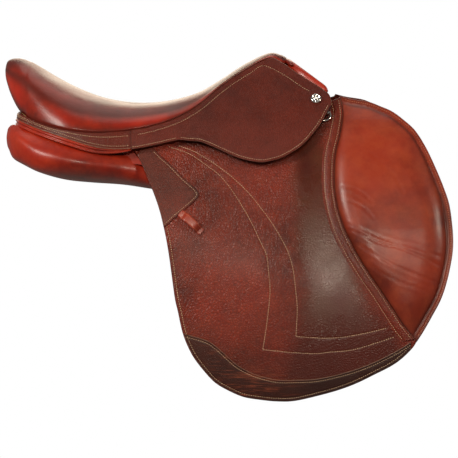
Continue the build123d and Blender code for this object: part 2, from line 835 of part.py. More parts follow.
# Keeper: a strap bent up over a flat loop, sewn down at both ends
keeper_face = side_frame(*keeper_centre, flap_thickness)
keeper_run = keeper_face.x_dir.rotate(Axis((0, 0, 0), keeper_face.z_dir), keeper_slope)
with BuildPart() as right_keeper:
    with BuildSketch(
        Plane(
            origin=keeper_face.origin, x_dir=keeper_run,
            z_dir=keeper_run.cross(keeper_face.z_dir),
        )
    ):
        with BuildLine():
            half = keeper_span / 2
            base = glue_gap + keeper_thickness / 2
            points = [
                (half + keeper_ramp + keeper_flat, base), (half + keeper_ramp, base),
                (half, base + keeper_rise), (-half, base + keeper_rise),
                (-half - keeper_ramp, base), (-half - keeper_ramp - keeper_flat, base),
            ]
            FilletPolyline(*points, radius=2.5)
        trace(line_width=keeper_thickness)
    extrude(amount=keeper_width / 2, both=True)

# Ring under the skirt's front corner, and the leather tab that holds it
dee_face = side_frame(*dee_place, flap_thickness)
dee_height = glue_gap + tab_thickness + glue_gap + dee_wire / 2
with BuildPart() as right_dee:
    with BuildLine(dee_face.offset(dee_height)) as ring:
        Line((dee_half_width, 0), (-dee_half_width, 0))
        Line((-dee_half_width, 0), (-dee_half_width, -dee_side))
        ThreePointArc(
            (-dee_half_width, -dee_side), (0, -dee_side - dee_half_width),
            (dee_half_width, -dee_side),
        )
        Line((dee_half_width, -dee_side), (dee_half_width, 0))
    with BuildSketch(
        Plane(origin=ring.line @ 0, x_dir=dee_face.z_dir, z_dir=dee_face.x_dir * -1)
    ):
        Circle(dee_wire / 2)
    sweep(transition=Transition.RIGHT)

with BuildPart() as right_dee_tab:
    with BuildSketch(Plane(origin=dee_face.origin, x_dir=dee_face.y_dir, z_dir=dee_face.x_dir)):
        with BuildLine():
            inner = dee_wire / 2 + glue_gap + tab_thickness / 2
            Line((tab_tail, dee_height - inner), (0, dee_height - inner))
            ThreePointArc(
                (0, dee_height - inner), (-inner, dee_height), (0, dee_height + inner)
            )
            Line((0, dee_height + inner), (tab_tail, dee_height + inner))
        trace(line_width=tab_thickness)
    extrude(amount=tab_width / 2, both=True)

with BuildPart() as right_skirt_stud:
    stud_face = side_frame(*stud_place, skirt_depth + skirt_thickness + glue_gap)
    with BuildSketch(
        Plane(origin=stud_face.origin, x_dir=stud_face.x_dir, z_dir=stud_face.y_dir * -1)
    ):
        with BuildLine():
            half = stud_diameter / 2
            Polyline((0, stud_height * 0.72), (0, 0), (half, 0), (half, 1.2))
            Spline(
                (half, 1.2), (half * 0.78, stud_height * 0.86), (half * 0.5, stud_height * 0.98),
                (half * 0.3, stud_height * 0.78), (0, stud_height * 0.72),
                tangents=[(0, 1), (-1, 0)],
            )
        make_face()
    revolve(axis=Axis(stud_face.origin, stud_face.z_dir))

# Right pieces and their mirror images
pairs = {
    "spring": right_spring,
    "upper_skirt": right_upper_skirt,
    "skirt_lobe": right_skirt_lobe,
    "panel": right_panel,
    "flap": right_flap,
    "flap_head": right_flap_head,
    "rear_patch": right_rear_patch,
    "lower_guard": right_lower_guard,
    "keeper": right_keeper,
    "knee_pad": right_knee_pad,
    "dee_tab": right_dee_tab,
    "dee": right_dee,
    "skirt_stud": right_skirt_stud,
    "stirrup_bar": right_stirrup_bar,
    "bar_catch": right_bar_catch,
    "sweat_flap": right_sweat_flap,
    "knee_block": right_knee_block,
    "billet_web": right_billet_web,
    "billet_front": right_billet_front,
    "billet_middle": right_billet_middle,
    "billet_rear": right_billet_rear,
}

# Small fittings of both sides share a node
with BuildPart() as catch_pins:
    add(right_catch_pin.part)
    mirror(about=Plane.XZ)

with BuildPart() as bar_rivets:
    add(right_bar_rivets.part)
    mirror(about=Plane.XZ)

singles = {
    "tree": tree,
    "head_plate": head_plate,
    "gullet_plate": gullet_plate,
    "tree_rivets": tree_rivets,
    "seat_webbing": seat_webbing,
    "seat_foam": seat_foam,
    "seat_cover": seat_cover,
    "pommel_facing": pommel_facing,
    "cantle_band": cantle_band,
    "rear_welt": rear_welt,
    "catch_pins": catch_pins,
    "bar_rivets": bar_rivets,
}

os.makedirs("parts", exist_ok=True)
for name, piece in singles.items():
    piece.part.label = name
    export_step(piece.part, f"parts/{name}.step")

for name, piece in pairs.items():
    with BuildPart() as left:
        mirror(piece.part, about=Plane.XZ)
    piece.part.label = f"right_{name}"
    left.part.label = f"left_{name}"
    export_step(piece.part, f"parts/right_{name}.step")
    export_step(left.part, f"parts/left_{name}.step")
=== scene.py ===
import math

import bmesh
import bpy
import numpy as np
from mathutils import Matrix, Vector
from mathutils.geometry import delaunay_2d_cdt


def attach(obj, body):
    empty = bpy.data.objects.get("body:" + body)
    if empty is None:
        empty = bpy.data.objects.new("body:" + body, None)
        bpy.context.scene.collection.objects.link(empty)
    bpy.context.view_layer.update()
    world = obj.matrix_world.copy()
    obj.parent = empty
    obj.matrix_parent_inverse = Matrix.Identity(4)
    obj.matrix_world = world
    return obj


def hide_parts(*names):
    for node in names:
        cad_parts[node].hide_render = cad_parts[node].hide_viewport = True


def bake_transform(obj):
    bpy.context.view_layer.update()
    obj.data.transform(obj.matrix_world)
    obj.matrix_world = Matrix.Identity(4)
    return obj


# Lengths are in millimetres here and become metres when a mesh is made. The
# right side is at -Y, and the left side is its mirror image.
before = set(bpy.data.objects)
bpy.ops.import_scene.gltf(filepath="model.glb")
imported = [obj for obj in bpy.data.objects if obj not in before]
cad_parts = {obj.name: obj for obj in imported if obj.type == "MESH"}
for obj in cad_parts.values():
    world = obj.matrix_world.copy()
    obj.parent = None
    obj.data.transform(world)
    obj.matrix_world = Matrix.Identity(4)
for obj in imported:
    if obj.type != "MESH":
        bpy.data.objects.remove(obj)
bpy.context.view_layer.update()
MM = 0.001
SIDES = ("right", "left")
MIRROR = {"right": (1, 1, 1), "left": (1, -1, 1)}

# Side surface, ruled between two arcs: centre y and z, radius, first and last angle
REAR, FRONT = -140.0, 310.0
REAR_ARC = (709.576, -272.384, 885.75, 158.1895, 181.7584)
FRONT_ARC = (487.522, -274.142, 685.75, 141.4601, 182.1170)
FOLD_REAR_Z, FOLD_FRONT_Z = 62.0, 162.0
FOLD_DEPTH = 14.25
FLAP_TOP = 4.0
PATCH_BASE, PATCH_THICK = 4.2, 1.6
SKIRT_BASE, SKIRT_THICK = 12.5, 3.5

SEAT_STATIONS = np.array([
    (76, 38, 182, 189, 194), (57, 41.5, 190.5, 194, 196), (23, 56.5, 174, 177.5, 181),
    (-13, 75.5, 150, 154, 157), (-42, 91.5, 126, 134, 140), (-72, 103, 108.5, 121, 130),
    (-109, 111.5, 96.5, 113, 124), (-146, 117, 90, 111, 125), (-183, 127, 88, 113, 133),
    (-218, 130, 91, 121, 147), (-246, 120, 96, 132, 162), (-272, 101, 104, 146, 178),
    (-293, 76, 112, 160, 189), (-309, 49, 137, 168, 190), (-318, 26, 160, 173, 186),
], float)
SHOULDER_SHARE = 0.84
WALL_LEAN = 0.35


def side_yz(x, share, depth):
    """y and z of the side surface at x, a share of the way from fold to hem."""
    t = (x - REAR) / (FRONT - REAR)
    y, z = 0.0, 0.0
    for weight, (cy, cz, radius, start, end) in ((1 - t, REAR_ARC), (t, FRONT_ARC)):
        angle = np.radians(start + share * (end - start))
        y = y + weight * (cy + (radius + depth) * np.cos(angle))
        z = z + weight * (cz + (radius + depth) * np.sin(angle))
    return y, z


def on_side(x, z, depth):
    """Points of the side surface at x and z, this deep outward of the flap's inner face."""
    x, z = np.asarray(x, float), np.asarray(z, float)
    depth = np.broadcast_to(depth, x.shape)
    low, high = np.full(x.shape, -0.9), np.full(x.shape, 1.2)
    for _ in range(34):
        middle = (low + high) / 2
        above = side_yz(x, middle, depth)[1] > z
        low, high = np.where(above, middle, low), np.where(above, high, middle)
    return np.stack([x, side_yz(x, low, depth)[0], z], -1)


def fold_z(x):
    """Height of the fold line at x."""
    return FOLD_REAR_Z + (FOLD_FRONT_Z - FOLD_REAR_Z) * (np.asarray(x) - REAR) / (FRONT - REAR)


def smooth(points, per=10, closed=False):
    """Smooth line through the points."""
    p = np.array(points, float)
    if closed:
        p = np.vstack([p[-1], p, p[0], p[1]])
    else:
        p = np.vstack([2 * p[0] - p[1], p, 2 * p[-1] - p[-2]])
    t = np.linspace(0, 1, per, endpoint=False)[:, None]
    out = [
        0.5 * (2 * b + (c - a) * t + (2 * a - 5 * b + 4 * c - d) * t**2 + (3 * b - a - 3 * c + d) * t**3)
        for a, b, c, d in zip(p[:-3], p[1:-2], p[2:-1], p[3:])
    ]
    out = np.vstack(out)
    return out if closed else np.vstack([out, p[-2]])


def even(points, step):
    """The same line with evenly spaced points."""
    p = np.array(points, float)
    run = np.r_[0, np.cumsum(np.linalg.norm(np.diff(p, axis=0), axis=1))]
    at = np.linspace(0, run[-1], max(2, round(run[-1] / step)) + 1)
    return np.stack([np.interp(at, run, p[:, k]) for k in range(p.shape[1])], 1)


def line(points, step=2.5):
    return even(smooth(points), step)


def shifted(points, by):
    """A line moved sideways, to the left of its run where by is above 0."""
    d = np.gradient(points, axis=0)
    d /= np.linalg.norm(d, axis=1)[:, None]
    return points + by * np.stack([-d[:, 1], d[:, 0]], 1)


def distance(points, a, b):
    """Distance from each point to the nearest of the segments a-b."""
    best = np.full(len(points), 1e9)
    for p, q in zip(a, b):
        run = q - p
        share = np.clip((points - p) @ run / max(run @ run, 1e-9), 0, 1)
        gap = points - p - share[:, None] * run
        best = np.minimum(best, gap[:, 0] ** 2 + gap[:, 1] ** 2)
    return np.sqrt(best)


def far(points, path):
    return distance(points, path[:-1], path[1:])


def inside(points, loop):
    x, z = points[:, 0], points[:, 1]
    hit = np.zeros(len(points), bool)
    for (ax, az), (bx, bz) in zip(loop, np.roll(loop, -1, 0)):
        if az != bz:
            crosses = (az > z) != (bz > z)
            hit ^= crosses & (x < (bx - ax) * (z - az) / (bz - az) + ax)
    return hit


def ramp(value, low, high):
    t = np.clip((value - low) / (high - low), 0, 1)
    return t * t * (3 - 2 * t)


def seen(runs):
    """Joins runs of (line, is it a free edge) into one loop and the flag of each segment."""
    points, flags = [], []
    for run, free in runs:
        points.append(run[:-1])
        flags += [free] * (len(run) - 1)
    loop, flags = np.vstack(points), np.array(flags)
    nxt = np.roll(loop, -1, 0)
    if (loop[:, 0] * nxt[:, 1] - nxt[:, 0] * loop[:, 1]).sum() < 0:
        loop, flags = loop[::-1], np.roll(flags[::-1], -1)
    return loop, flags


def turn_of(a, b, c):
    """Above 0 where a, b and c run anticlockwise."""
    return (b - a)[0] * (c - a)[1] - (b - a)[1] * (c - a)[0]


def sheet(runs, base, thick, roll=1.1, step=3.2, grooves=(), relief=None, groove=0.35, extra=None):
    """A sheet of leather on the side surface: rounded at its free edges, with stitch grooves."""
    loop, free = seen(runs)
    nxt = np.roll(loop, -1, 0)
    edge_a, edge_b = loop[free], nxt[free]
    normal = nxt - np.roll(loop, 1, 0)
    normal = np.stack([-normal[:, 1], normal[:, 0]], 1)
    normal /= np.linalg.norm(normal, axis=1)[:, None]
    kept = [loop]
    for inset in (0.3, 0.8, 1.5, 2.6):
        ring = loop + normal * inset
        near = distance(ring, loop, nxt)
        kept.append(ring[(near > 0.9 * inset) & inside(ring, loop)])
    for path in grooves:
        for by in (0, -0.6, 0.6, -1.3, 1.3):
            ring = shifted(path, by)
            near = distance(ring, loop, nxt)
            kept.append(ring[(near > 1.0) & inside(ring, loop)])
    low, high = loop.min(0), loop.max(0)
    gx, gz = np.meshgrid(
        np.arange(low[0], high[0], step), np.arange(low[1], high[1], step * 0.866)
    )
    gx[1::2] += step / 2
    grid = np.stack([gx.ravel(), gz.ravel()], 1)
    grid = grid[inside(grid, loop)]
    grid = grid[distance(grid, loop, nxt) > 3.6]
    for path in grooves:
        grid = grid[far(grid, path) > 2.0]
    if extra is not None:
        for path in extra:
            grid = grid[far(grid, path) > 1.2]
            ring = path[inside(path, loop)]
            kept.append(ring[distance(ring, loop, nxt) > 2.8])
    kept.append(grid)
    flat = np.vstack(kept)
    found = delaunay_2d_cdt(
        [Vector(p) for p in flat], [], [list(range(len(loop)))], 1, 1e-5, True
    )
    flat = np.array([tuple(p) for p in found[0]])
    tris = np.array([tuple(f) for f in found[2]])
    tris = [tuple(f) for f in tris[inside(flat[tris].mean(1), loop)]]
    place = {i: k for k, origin in enumerate(found[3]) for i in origin if i < len(loop)}
    near = distance(flat, edge_a, edge_b) if len(edge_a) else np.full(len(flat), 1e3)
    share = 1 - np.minimum(near, roll) / roll
    fall = roll * (1 - np.sqrt(np.maximum(1 - share**2, 0)))
    rise = relief(flat, near) if relief else 0.0
    cut = np.zeros(len(flat))
    for path in grooves:
        cut = np.maximum(cut, groove * np.exp(-((far(flat, path) / 0.8) ** 2)))
    top = on_side(flat[:, 0], flat[:, 1], base + thick - fall + rise - cut)
    low = on_side(flat[:, 0], flat[:, 1], base + np.minimum(fall, thick * 0.3))
    n = len(flat)
    tris = [f if turn_of(*flat[list(f)]) > 0 else f[::-1] for f in tris]
    faces = tris + [tuple(i + n for i in f[::-1]) for f in tris]
    marks = [1 if max(near[list(f)]) < 0.75 else 0 for f in tris] + [0] * len(tris)
    verts = [top, low]
    count = 2 * n
    for i in range(len(loop)):
        j = (i + 1) % len(loop)
        a, b = place[i], place[j]
        if a == b:
            continue
        if free[i]:
            faces.append((a, a + n, b + n, b))
            marks.append(1)
        else:
            verts.append(np.array([top[a], low[a], low[b], top[b]]))
            faces.append((count, count + 1, count + 2, count + 3))
            marks.append(0)
            count += 4
    verts = np.vstack(verts)
    fields = {"edge": np.r_[near, near, np.full(len(verts) - 2 * n, 9.0)]}
    return {"verts": verts, "faces": faces, "marks": marks, "fields": fields, "flat": flat}


def grid_faces(rows, columns, closed=False, caps=False):
    """Faces of a grid of rows by columns; each row is a ring where closed."""
    faces = []
    across = columns if closed else columns - 1
    for r in range(rows - 1):
        for c in range(across):
            d = (c + 1) % columns
            near, next_row = r * columns, (r + 1) * columns
            faces.append((near + c, near + d, next_row + d, next_row + c))
    if caps:
        faces.append(tuple(range(columns))[::-1])
        faces.append(tuple((rows - 1) * columns + c for c in range(columns)))
    return faces


def outward(mesh):
    """Turns the faces outward."""
    bm = bmesh.new()
    bm.from_mesh(mesh)
    bmesh.ops.recalc_face_normals(bm, faces=bm.faces)
    bm.to_mesh(mesh)
    bm.free()


def build(name, side, data, materials):
    """A new object for one side, with its materials and fields."""
    verts = np.array(data["verts"], float) * MM
    faces = data["faces"]
    if side == "left":
        verts = verts * MIRROR[side]
        faces = [tuple(reversed(f)) for f in faces]
    mesh = bpy.data.meshes.new(name)
    mesh.from_pydata(verts.tolist(), [], faces)
    for material in materials:
        mesh.materials.append(material)
    if len(materials) > 1:
        mesh.polygons.foreach_set("material_index", data["marks"])
    for key, values in data.get("fields", {}).items():
        mesh.attributes.new(key, "FLOAT", "POINT").data.foreach_set(
            "value", np.asarray(values, np.float32)
        )
    obj = bpy.data.objects.new(name, mesh)
    bpy.context.scene.collection.objects.link(obj)
    return obj


def finished(mesh, tidy=False):
    if tidy:
        outward(mesh)
    mesh.polygons.foreach_set("use_smooth", [True] * len(mesh.polygons))
    mesh.update()


def piece(name, data, materials, body, replaces=(), tidy=False):
    """One object for the middle, or a pair where the body's name has a side."""
    pair = "{}" in body
    for side in SIDES if pair else ("",):
        obj = build(f"{side}_{name}" if pair else name, side, data, materials)
        finished(obj.data, tidy)
        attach(obj, body.format(side))
        if replaces:
            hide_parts(*[n.format(side) for n in replaces])


def twins(name, data, material, replaces=()):
    """A mirrored pair on the saddle itself."""
    for side in SIDES:
        mirrored = dict(data, verts=data["verts"] * MIRROR[side])
        stood_for = [n.format(side) for n in replaces]
        piece(f"{side}_{name}", mirrored, [material], "saddle", stood_for, tidy=True)


def both_faces(data, values):
    """Values at a sheet's outer points, given to the inner ones too, and 0 at its cut sides."""
    rest = len(data["verts"]) - 2 * len(data["flat"])
    return np.r_[values, values, np.zeros(rest)]


def even_fields(data, **values):
    """The same value of each named field at every point."""
    return {name: np.full(len(data["verts"]), value) for name, value in values.items()}


# Materials


def linear(r, g, b):
    """Colour from screen values, 0 to 255."""
    out = []
    for v in (r, g, b):
        v /= 255
        out.append(v / 12.92 if v <= 0.04045 else ((v + 0.055) / 1.055) ** 2.4)
    return (*out, 1.0)


def feed(tree, socket, value):
    if isinstance(value, bpy.types.NodeSocket):
        tree.links.new(value, socket)
    else:
        socket.default_value = value


class Maker:
    """Builds a node tree with short calls."""

    def __init__(self, name):
        self.mat = bpy.data.materials.new(name)
        self.mat.use_nodes = True
        self.tree = self.mat.node_tree
        self.shader = next(n for n in self.tree.nodes if n.type == "BSDF_PRINCIPLED")
        self.place = self.add("ShaderNodeTexCoord").outputs["Object"]

    def add(self, kind, inputs=None, **settings):
        node = self.tree.nodes.new(kind)
        for key, value in settings.items():
            setattr(node, key, value)
        for key, value in (inputs or {}).items():
            feed(self.tree, node.inputs[key], value)
        return node

    def math(self, operation, a, b=0.0):
        return self.add("ShaderNodeMath", {0: a, 1: b}, operation=operation).outputs[0]

    def noise(self, scale, detail=3.0, rough=0.5, vector=None):
        inputs = {"Scale": scale, "Detail": detail, "Roughness": rough, "Vector": vector or self.place}
        return self.add("ShaderNodeTexNoise", inputs).outputs["Fac"]

    def spread(self, value, low, high, to_low=0.0, to_high=1.0):
        inputs = {"Value": value, "From Min": low, "From Max": high, "To Min": to_low, "To Max": to_high}
        return self.add("ShaderNodeMapRange", inputs).outputs[0]

    def mix(self, share, a, b):
        node = self.add("ShaderNodeMix", {0: share}, data_type="RGBA")
        feed(self.tree, node.inputs[6], a)
        feed(self.tree, node.inputs[7], b)
        return node.outputs[2]

    def field(self, name):
        return self.add("ShaderNodeAttribute", attribute_name=name).outputs["Fac"]

    def bump(self, height, strength, reach, under=None):
        inputs = {"Height": height, "Strength": strength, "Distance": reach}
        if under is not None:
            inputs["Normal"] = under
        return self.add("ShaderNodeBump", inputs).outputs["Normal"]

    def set(self, **values):
        for key, value in values.items():
            feed(self.tree, self.shader.inputs[key.replace("_", " ")], value)
        return self.mat


def leather(name, base, deep, bright, pebble, strength, rough, coat, worn=None, fine=1800.0):
    """Leather: pebbled grain, drifting colour and gloss; the worn field smooths and greys it."""
    k = Maker(name)
    warp = k.add(
        "ShaderNodeTexNoise", {"Scale": pebble * 0.35, "Detail": 2.0, "Vector": k.place}
    ).outputs["Color"]
    push = k.add(
        "ShaderNodeVectorMath", {0: warp, "Scale": 0.9 / pebble}, operation="SCALE"
    ).outputs[0]
    warped = k.add("ShaderNodeVectorMath", {0: k.place, 1: push}, operation="ADD").outputs[0]
    cells = k.add(
        "ShaderNodeTexVoronoi", {"Scale": pebble, "Vector": warped, "Randomness": 1.0},
        feature="DISTANCE_TO_EDGE",
    ).outputs["Distance"]
    grain = k.spread(cells, 0.0, 0.32)
    drift = k.spread(k.noise(9.0, 4.0, 0.6), 0.3, 0.6)
    mottle = k.spread(k.noise(55.0, 5.0, 0.65), 0.3, 0.75)
    colour = k.mix(drift, deep, base)
    colour = k.mix(k.math("MULTIPLY", mottle, 0.45), colour, bright)
    colour = k.mix(k.spread(grain, 0.0, 0.5, 0.65, 0.0), colour, deep)
    height = k.math("ADD", k.math("MULTIPLY", grain, 0.8), k.math("MULTIPLY", k.noise(fine, 3.0), 0.2))
    gloss = k.spread(k.noise(30.0, 4.0), 0.3, 0.7, rough - 0.05, rough + 0.07)
    if worn:
        wear = k.field("worn")
        faded = k.mix(k.spread(k.noise(22.0, 5.0, 0.6), 0.35, 0.65), worn, deep)
        colour = k.mix(k.math("MULTIPLY", wear, 0.85), colour, faded)
        strength = k.math("MULTIPLY", k.field("grain"), strength)
        gloss = k.math("SUBTRACT", gloss, k.math("MULTIPLY", wear, 0.1))
        # The shade field darkens toward deep: painted shade and shadow on the flap, a darker tone on the
        # other pieces.
        colour = k.mix(k.field("shade"), colour, deep)
        scuffs = k.add("ShaderNodeMapping", {
            "Vector": k.place, "Rotation": (0.0, math.radians(62), 0.0), "Scale": (36.0, 60.0, 420.0),
        })
        lines = k.spread(k.noise(1.0, 6.0, 0.7, scuffs.outputs[0]), 0.5, 0.64)
        lines = k.math("MULTIPLY", lines, k.field("scuff"))
        colour = k.mix(lines, colour, linear(128, 60, 36))
    normal = k.bump(k.noise(38.0, 2.0), 0.12, 0.002)
    normal = k.bump(height, strength, 0.0006, normal)
    return k.set(
        Base_Color=colour, Roughness=gloss, Normal=normal, Coat_Weight=coat, Coat_Roughness=0.22,
        Specular_IOR_Level=0.27,
    )


def calf(name, base, deep, bright, creases=0.25, coat=0.2, rough=0.36):
    """Smooth calfskin with fine pores, soft creases and tone that drifts."""
    k = Maker(name)
    drift = k.spread(k.noise(7.0, 4.0, 0.6), 0.35, 0.65)
    colour = k.mix(drift, deep, base)
    mottle = k.spread(k.noise(34.0, 6.0, 0.7), 0.4, 0.8)
    colour = k.mix(k.math("MULTIPLY", mottle, 0.5), colour, bright)
    pores = k.add(
        "ShaderNodeTexVoronoi", {"Scale": 1500.0, "Vector": k.place}, feature="F1"
    ).outputs["Distance"]
    colour = k.mix(k.spread(pores, 0.0, 0.22, 0.22, 0.0), colour, deep)
    # The shade field darkens toward deep: painted shade and reflection on the seat, painted shade on the knee
    # pad, a flat darker tone on the piping and other pieces.
    colour = k.mix(k.field("shade"), colour, deep)
    stretch = k.add("ShaderNodeMapping", {"Vector": k.place, "Scale": (60.0, 60.0, 210.0)})
    wrinkles = k.noise(1.0, 5.0, 0.6, stretch.outputs[0])
    normal = k.bump(k.noise(24.0, 3.0), 0.14, 0.003)
    normal = k.bump(wrinkles, creases, 0.0012, normal)
    normal = k.bump(k.math("ADD", pores, k.noise(900.0, 3.0)), 0.18, 0.0003, normal)
    gloss = k.spread(k.noise(26.0, 4.0), 0.3, 0.7, rough - 0.06, rough + 0.08)
    return k.set(
        Base_Color=colour, Roughness=gloss, Normal=normal, Coat_Weight=coat, Coat_Roughness=0.25,
        Specular_IOR_Level=0.32,
    )


def plain(name, base, deep, scale, rough, metal=0.0, strength=0.1, stretch=(1.0, 1.0, 1.0)):
    """Metal, wood, thread or a cut edge: one tone that drifts."""
    k = Maker(name)
    turned = k.add("ShaderNodeMapping", {"Vector": k.place, "Scale": stretch}).outputs[0]
    value = k.noise(scale, 4.0, 0.6, turned)
    colour = k.mix(k.spread(value, 0.3, 0.7), deep, base)
    gloss = k.spread(value, 0.3, 0.7, rough + 0.06, rough - 0.03)
    return k.set(
        Base_Color=colour, Roughness=gloss, Metallic=metal, Normal=k.bump(value, strength, 0.0004)
    )


def woven(name, base, deep, pitch):
    """Webbing or cloth: over and under threads."""
    k = Maker(name)
    split = k.add("ShaderNodeSeparateXYZ", {0: k.place})
    turn = 2 * math.pi / pitch
    along = k.math("SINE", k.math("MULTIPLY", split.outputs[0], turn))
    across = k.math("SINE", k.math("MULTIPLY", split.outputs[1], turn))
    upward = k.math("SINE", k.math("MULTIPLY", split.outputs[2], turn))
    height = k.math("MULTIPLY", along, k.math("ADD", across, upward))
    colour = k.mix(k.spread(height, -1.0, 1.0), deep, base)
    colour = k.mix(k.spread(k.noise(60.0, 4.0), 0.3, 0.8, 0.0, 0.4), colour, deep)
    return k.set(Base_Color=colour, Roughness=0.85, Normal=k.bump(height, 0.5, 0.0006))


flap_leather = leather(
    "flap_leather", linear(124, 36, 19), linear(62, 17, 8), linear(152, 60, 34),
    300.0, 1.1, 0.39, 0.03, worn=linear(70, 41, 25),
)
skirt_leather = leather(
    "skirt_leather", linear(92, 27, 13), linear(58, 16, 8), linear(112, 37, 18),
    420.0, 0.45, 0.42, 0.04,
)
patch_leather = leather(
    "patch_leather", linear(110, 38, 22), linear(36, 13, 7), linear(132, 52, 32),
    420.0, 0.4, 0.42, 0.04, worn=linear(66, 38, 26),
)
strap_leather = leather(
    "strap_leather", linear(92, 40, 24), linear(54, 22, 13), linear(112, 52, 31),
    1100.0, 0.15, 0.42, 0.05,
)
seat_leather = calf("seat_leather", linear(166, 32, 9), linear(60, 16, 6), linear(182, 50, 16), 0.1)
panel_leather = calf("panel_leather", linear(172, 38, 15), linear(96, 20, 9), linear(190, 62, 28), 0.12)
knee_leather = calf(
    "knee_leather", linear(142, 44, 20), linear(72, 19, 9), linear(168, 74, 38), 0.12, 0.15, 0.38
)
keeper_leather = calf("keeper_leather", linear(152, 50, 31), linear(98, 28, 17), linear(172, 72, 48), 0.1)
pale_edge = plain("pale_edge", linear(150, 116, 92), linear(104, 72, 54), 260.0, 0.5)
dark_edge = plain("dark_edge", linear(86, 42, 30), linear(46, 22, 16), 240.0, 0.5)
thread = plain("thread", linear(206, 176, 142), linear(160, 126, 94), 1500.0, 0.7)
red_thread = plain("red_thread", linear(196, 120, 84), linear(150, 78, 50), 1500.0, 0.7)
chrome = plain("chrome", (0.78, 0.77, 0.74, 1), (0.6, 0.59, 0.56, 1), 60.0, 0.14, 1.0, 0.02)
steel = plain("steel", (0.42, 0.42, 0.43, 1), (0.28, 0.28, 0.29, 1), 120.0, 0.36, 1.0, 0.1, (1, 1, 12))
wood = plain(
    "wood", linear(196, 152, 104), linear(150, 104, 66), 30.0, 0.5, 0.0, 0.15, (1.0, 6.0, 10.0)
)
webbing = woven("webbing", linear(214, 202, 174), linear(158, 144, 116), 0.0016)
felt = woven("felt", linear(222, 212, 186), linear(176, 164, 138), 0.0011)

# Outlines in the side view, x and z

FLAP_REAR = [
    (-132, 62), (-122, 47), (-112, 23), (-104, 5), (-96, -17), (-90, -40), (-86, -58), (-82, -81),
    (-78, -109), (-74, -137), (-70, -154), (-64, -181), (-57, -200), (-48, -217), (-35, -234),
    (-20, -250), (-4, -260), (19, -270), (43, -274), (66, -276), (90, -275), (124, -267),
    (151, -259), (174, -250), (198, -238), (221, -226), (236, -215), (249, -202), (255, -193),
]
KNEE_OUTER = [
    (255, -193), (264, -179), (275, -160), (288, -136), (297, -110), (304, -79), (306, -57),
    (305, -34), (302, -9), (295, 14), (285, 40), (273, 67), (259, 90), (243, 105), (228, 116),
    (212, 123), (196, 129), (172, 133), (156, 137),
]
KNEE_INNER = [
    (156, 137), (159, 112), (154, 84), (147, 57), (145, 34), (145, 11), (149, -15), (157, -41),
    (167, -62), (175, -77), (190, -101), (206, -124), (221, -147), (236, -170), (249, -186),
    (255, -193),
]
STITCH_A = [
    (-84, 68), (-55, 58), (-32, 43), (-11, 27), (8, 3), (29, -31), (43, -60), (51, -77),
    (54, -100), (56, -125), (54, -149), (50, -180), (46, -205),
]
STITCH_A_LOW = [
    (46, -205), (66, -207), (89, -209), (120, -210), (135, -208), (166, -205), (197, -196), (224, -187),
]
STITCH_B = [
    (-70, 69), (-48, 61), (-24, 47), (-8, 36), (6, 25), (29, 3), (56, -31), (74, -60), (83, -80),
    (88, -100), (91, -126), (93, -149), (92, -172), (91, -187),
]
STITCH_B_LOW = [(91, -187), (105, -188), (124, -189), (135, -189), (159, -187), (190, -181), (214, -175)]
GUARD_SEAM = [
    (-62, -184), (-43, -189), (-28, -194), (-15, -203), (-4, -213), (11, -226), (27, -235),
    (43, -241), (66, -246), (89, -246), (121, -244), (159, -235), (190, -224), (221, -209),
    (238, -199), (249, -192),
]
LOBE_EDGE = [
    (-70, 76.5), (-53, 76), (-40, 75), (-24, 69), (-8, 62), (8, 55), (24, 50), (44, 47), (58, 49),
    (72, 53), (86, 60), (100, 69), (115, 84), (129, 102), (138, 118), (143, 125.2),
]

flap_rear = line(FLAP_REAR)
knee_outer = line(KNEE_OUTER)
knee_inner = line(KNEE_INNER)
stitch_a = [line(STITCH_A), line(STITCH_A_LOW)]
stitch_b = [line(STITCH_B), line(STITCH_B_LOW)]
guard_seam = line(GUARD_SEAM)
edge_stitch = shifted(flap_rear, 4.6)[4:-3]
strap_near = shifted(knee_inner, -3.2)[2:-4]
strap_far = shifted(knee_inner, -13.0)[3:-6]

# Flap


def flap_relief(flat, near):
    """The flap's slow waves, and the lower middle pressed in by the rider's leg."""
    x, z = flat[:, 0], flat[:, 1]
    dish = -2.2 * np.exp(-(((x - 118) / 46) ** 2 + ((z + 30) / 95) ** 2))
    swell = 1.5 * np.exp(-(((x - 20) / 60) ** 2 + ((z + 110) / 80) ** 2))
    return (dish + swell) * ramp(near, 2, 30)


def flap_fields(data):
    """Where the flap is worn smooth, darkened, grained or scuffed; the darkening is mostly painted shade and
    shadow.
    """
    flat = data["flat"]
    x, z = flat[:, 0], flat[:, 1]
    centre = np.interp(z, [-190, -110, -40, 30, 70], [158, 138, 122, 116, 112])
    half = np.interp(z, [-190, -110, -40, 30, 70], [62, 44, 34, 30, 26])
    worn = np.exp(-(((x - centre) / half) ** 4)) * ramp(z, -230, -150) * (1 - ramp(z, 60, 100) * 0.5)
    upward = stitch_b[0][::-1]
    past_b = ramp(x - np.interp(z, upward[:, 1], upward[:, 0]), -12, 6)
    worn = worn * (0.25 + 0.75 * past_b)
    grain = 1.0 - 0.88 * worn - 0.35 * ramp(-z, 150, 230)
    under_skirt = far(flat, line(LOBE_EDGE))
    # Painted shadow under the skirt lobe's edge, and painted shade darkening the flap towards the bottom.
    shade = 0.75 * (1 - ramp(under_skirt, 0, 14)) + 0.5 * ramp(-z, 165, 240)
    # Darker over the lower middle.
    shade = shade + 0.7 * ramp(-z, 115, 185) * ramp(x, 60, 110) * (1 - ramp(x, 215, 250))
    # Two darker patches; the one along the knee pad's inner edge is painted shade in the crevice.
    dark = np.exp(-(((x - 107) / 9) ** 2 + ((z - 42) / 26) ** 2)) + 0.7 * np.exp(
        -(((x - 160) / 12) ** 2 + ((z + 60) / 70) ** 2))
    shade = np.clip(np.maximum(shade, 0.7 * dark), 0, 0.85)
    scuff = ramp(-z, 215, 245) * np.exp(-(((x - 20) / 60) ** 2)) * 0.8
    fields = {"worn": worn, "grain": grain, "shade": shade, "scuff": scuff}
    return {name: both_faces(data, values) for name, values in fields.items()}


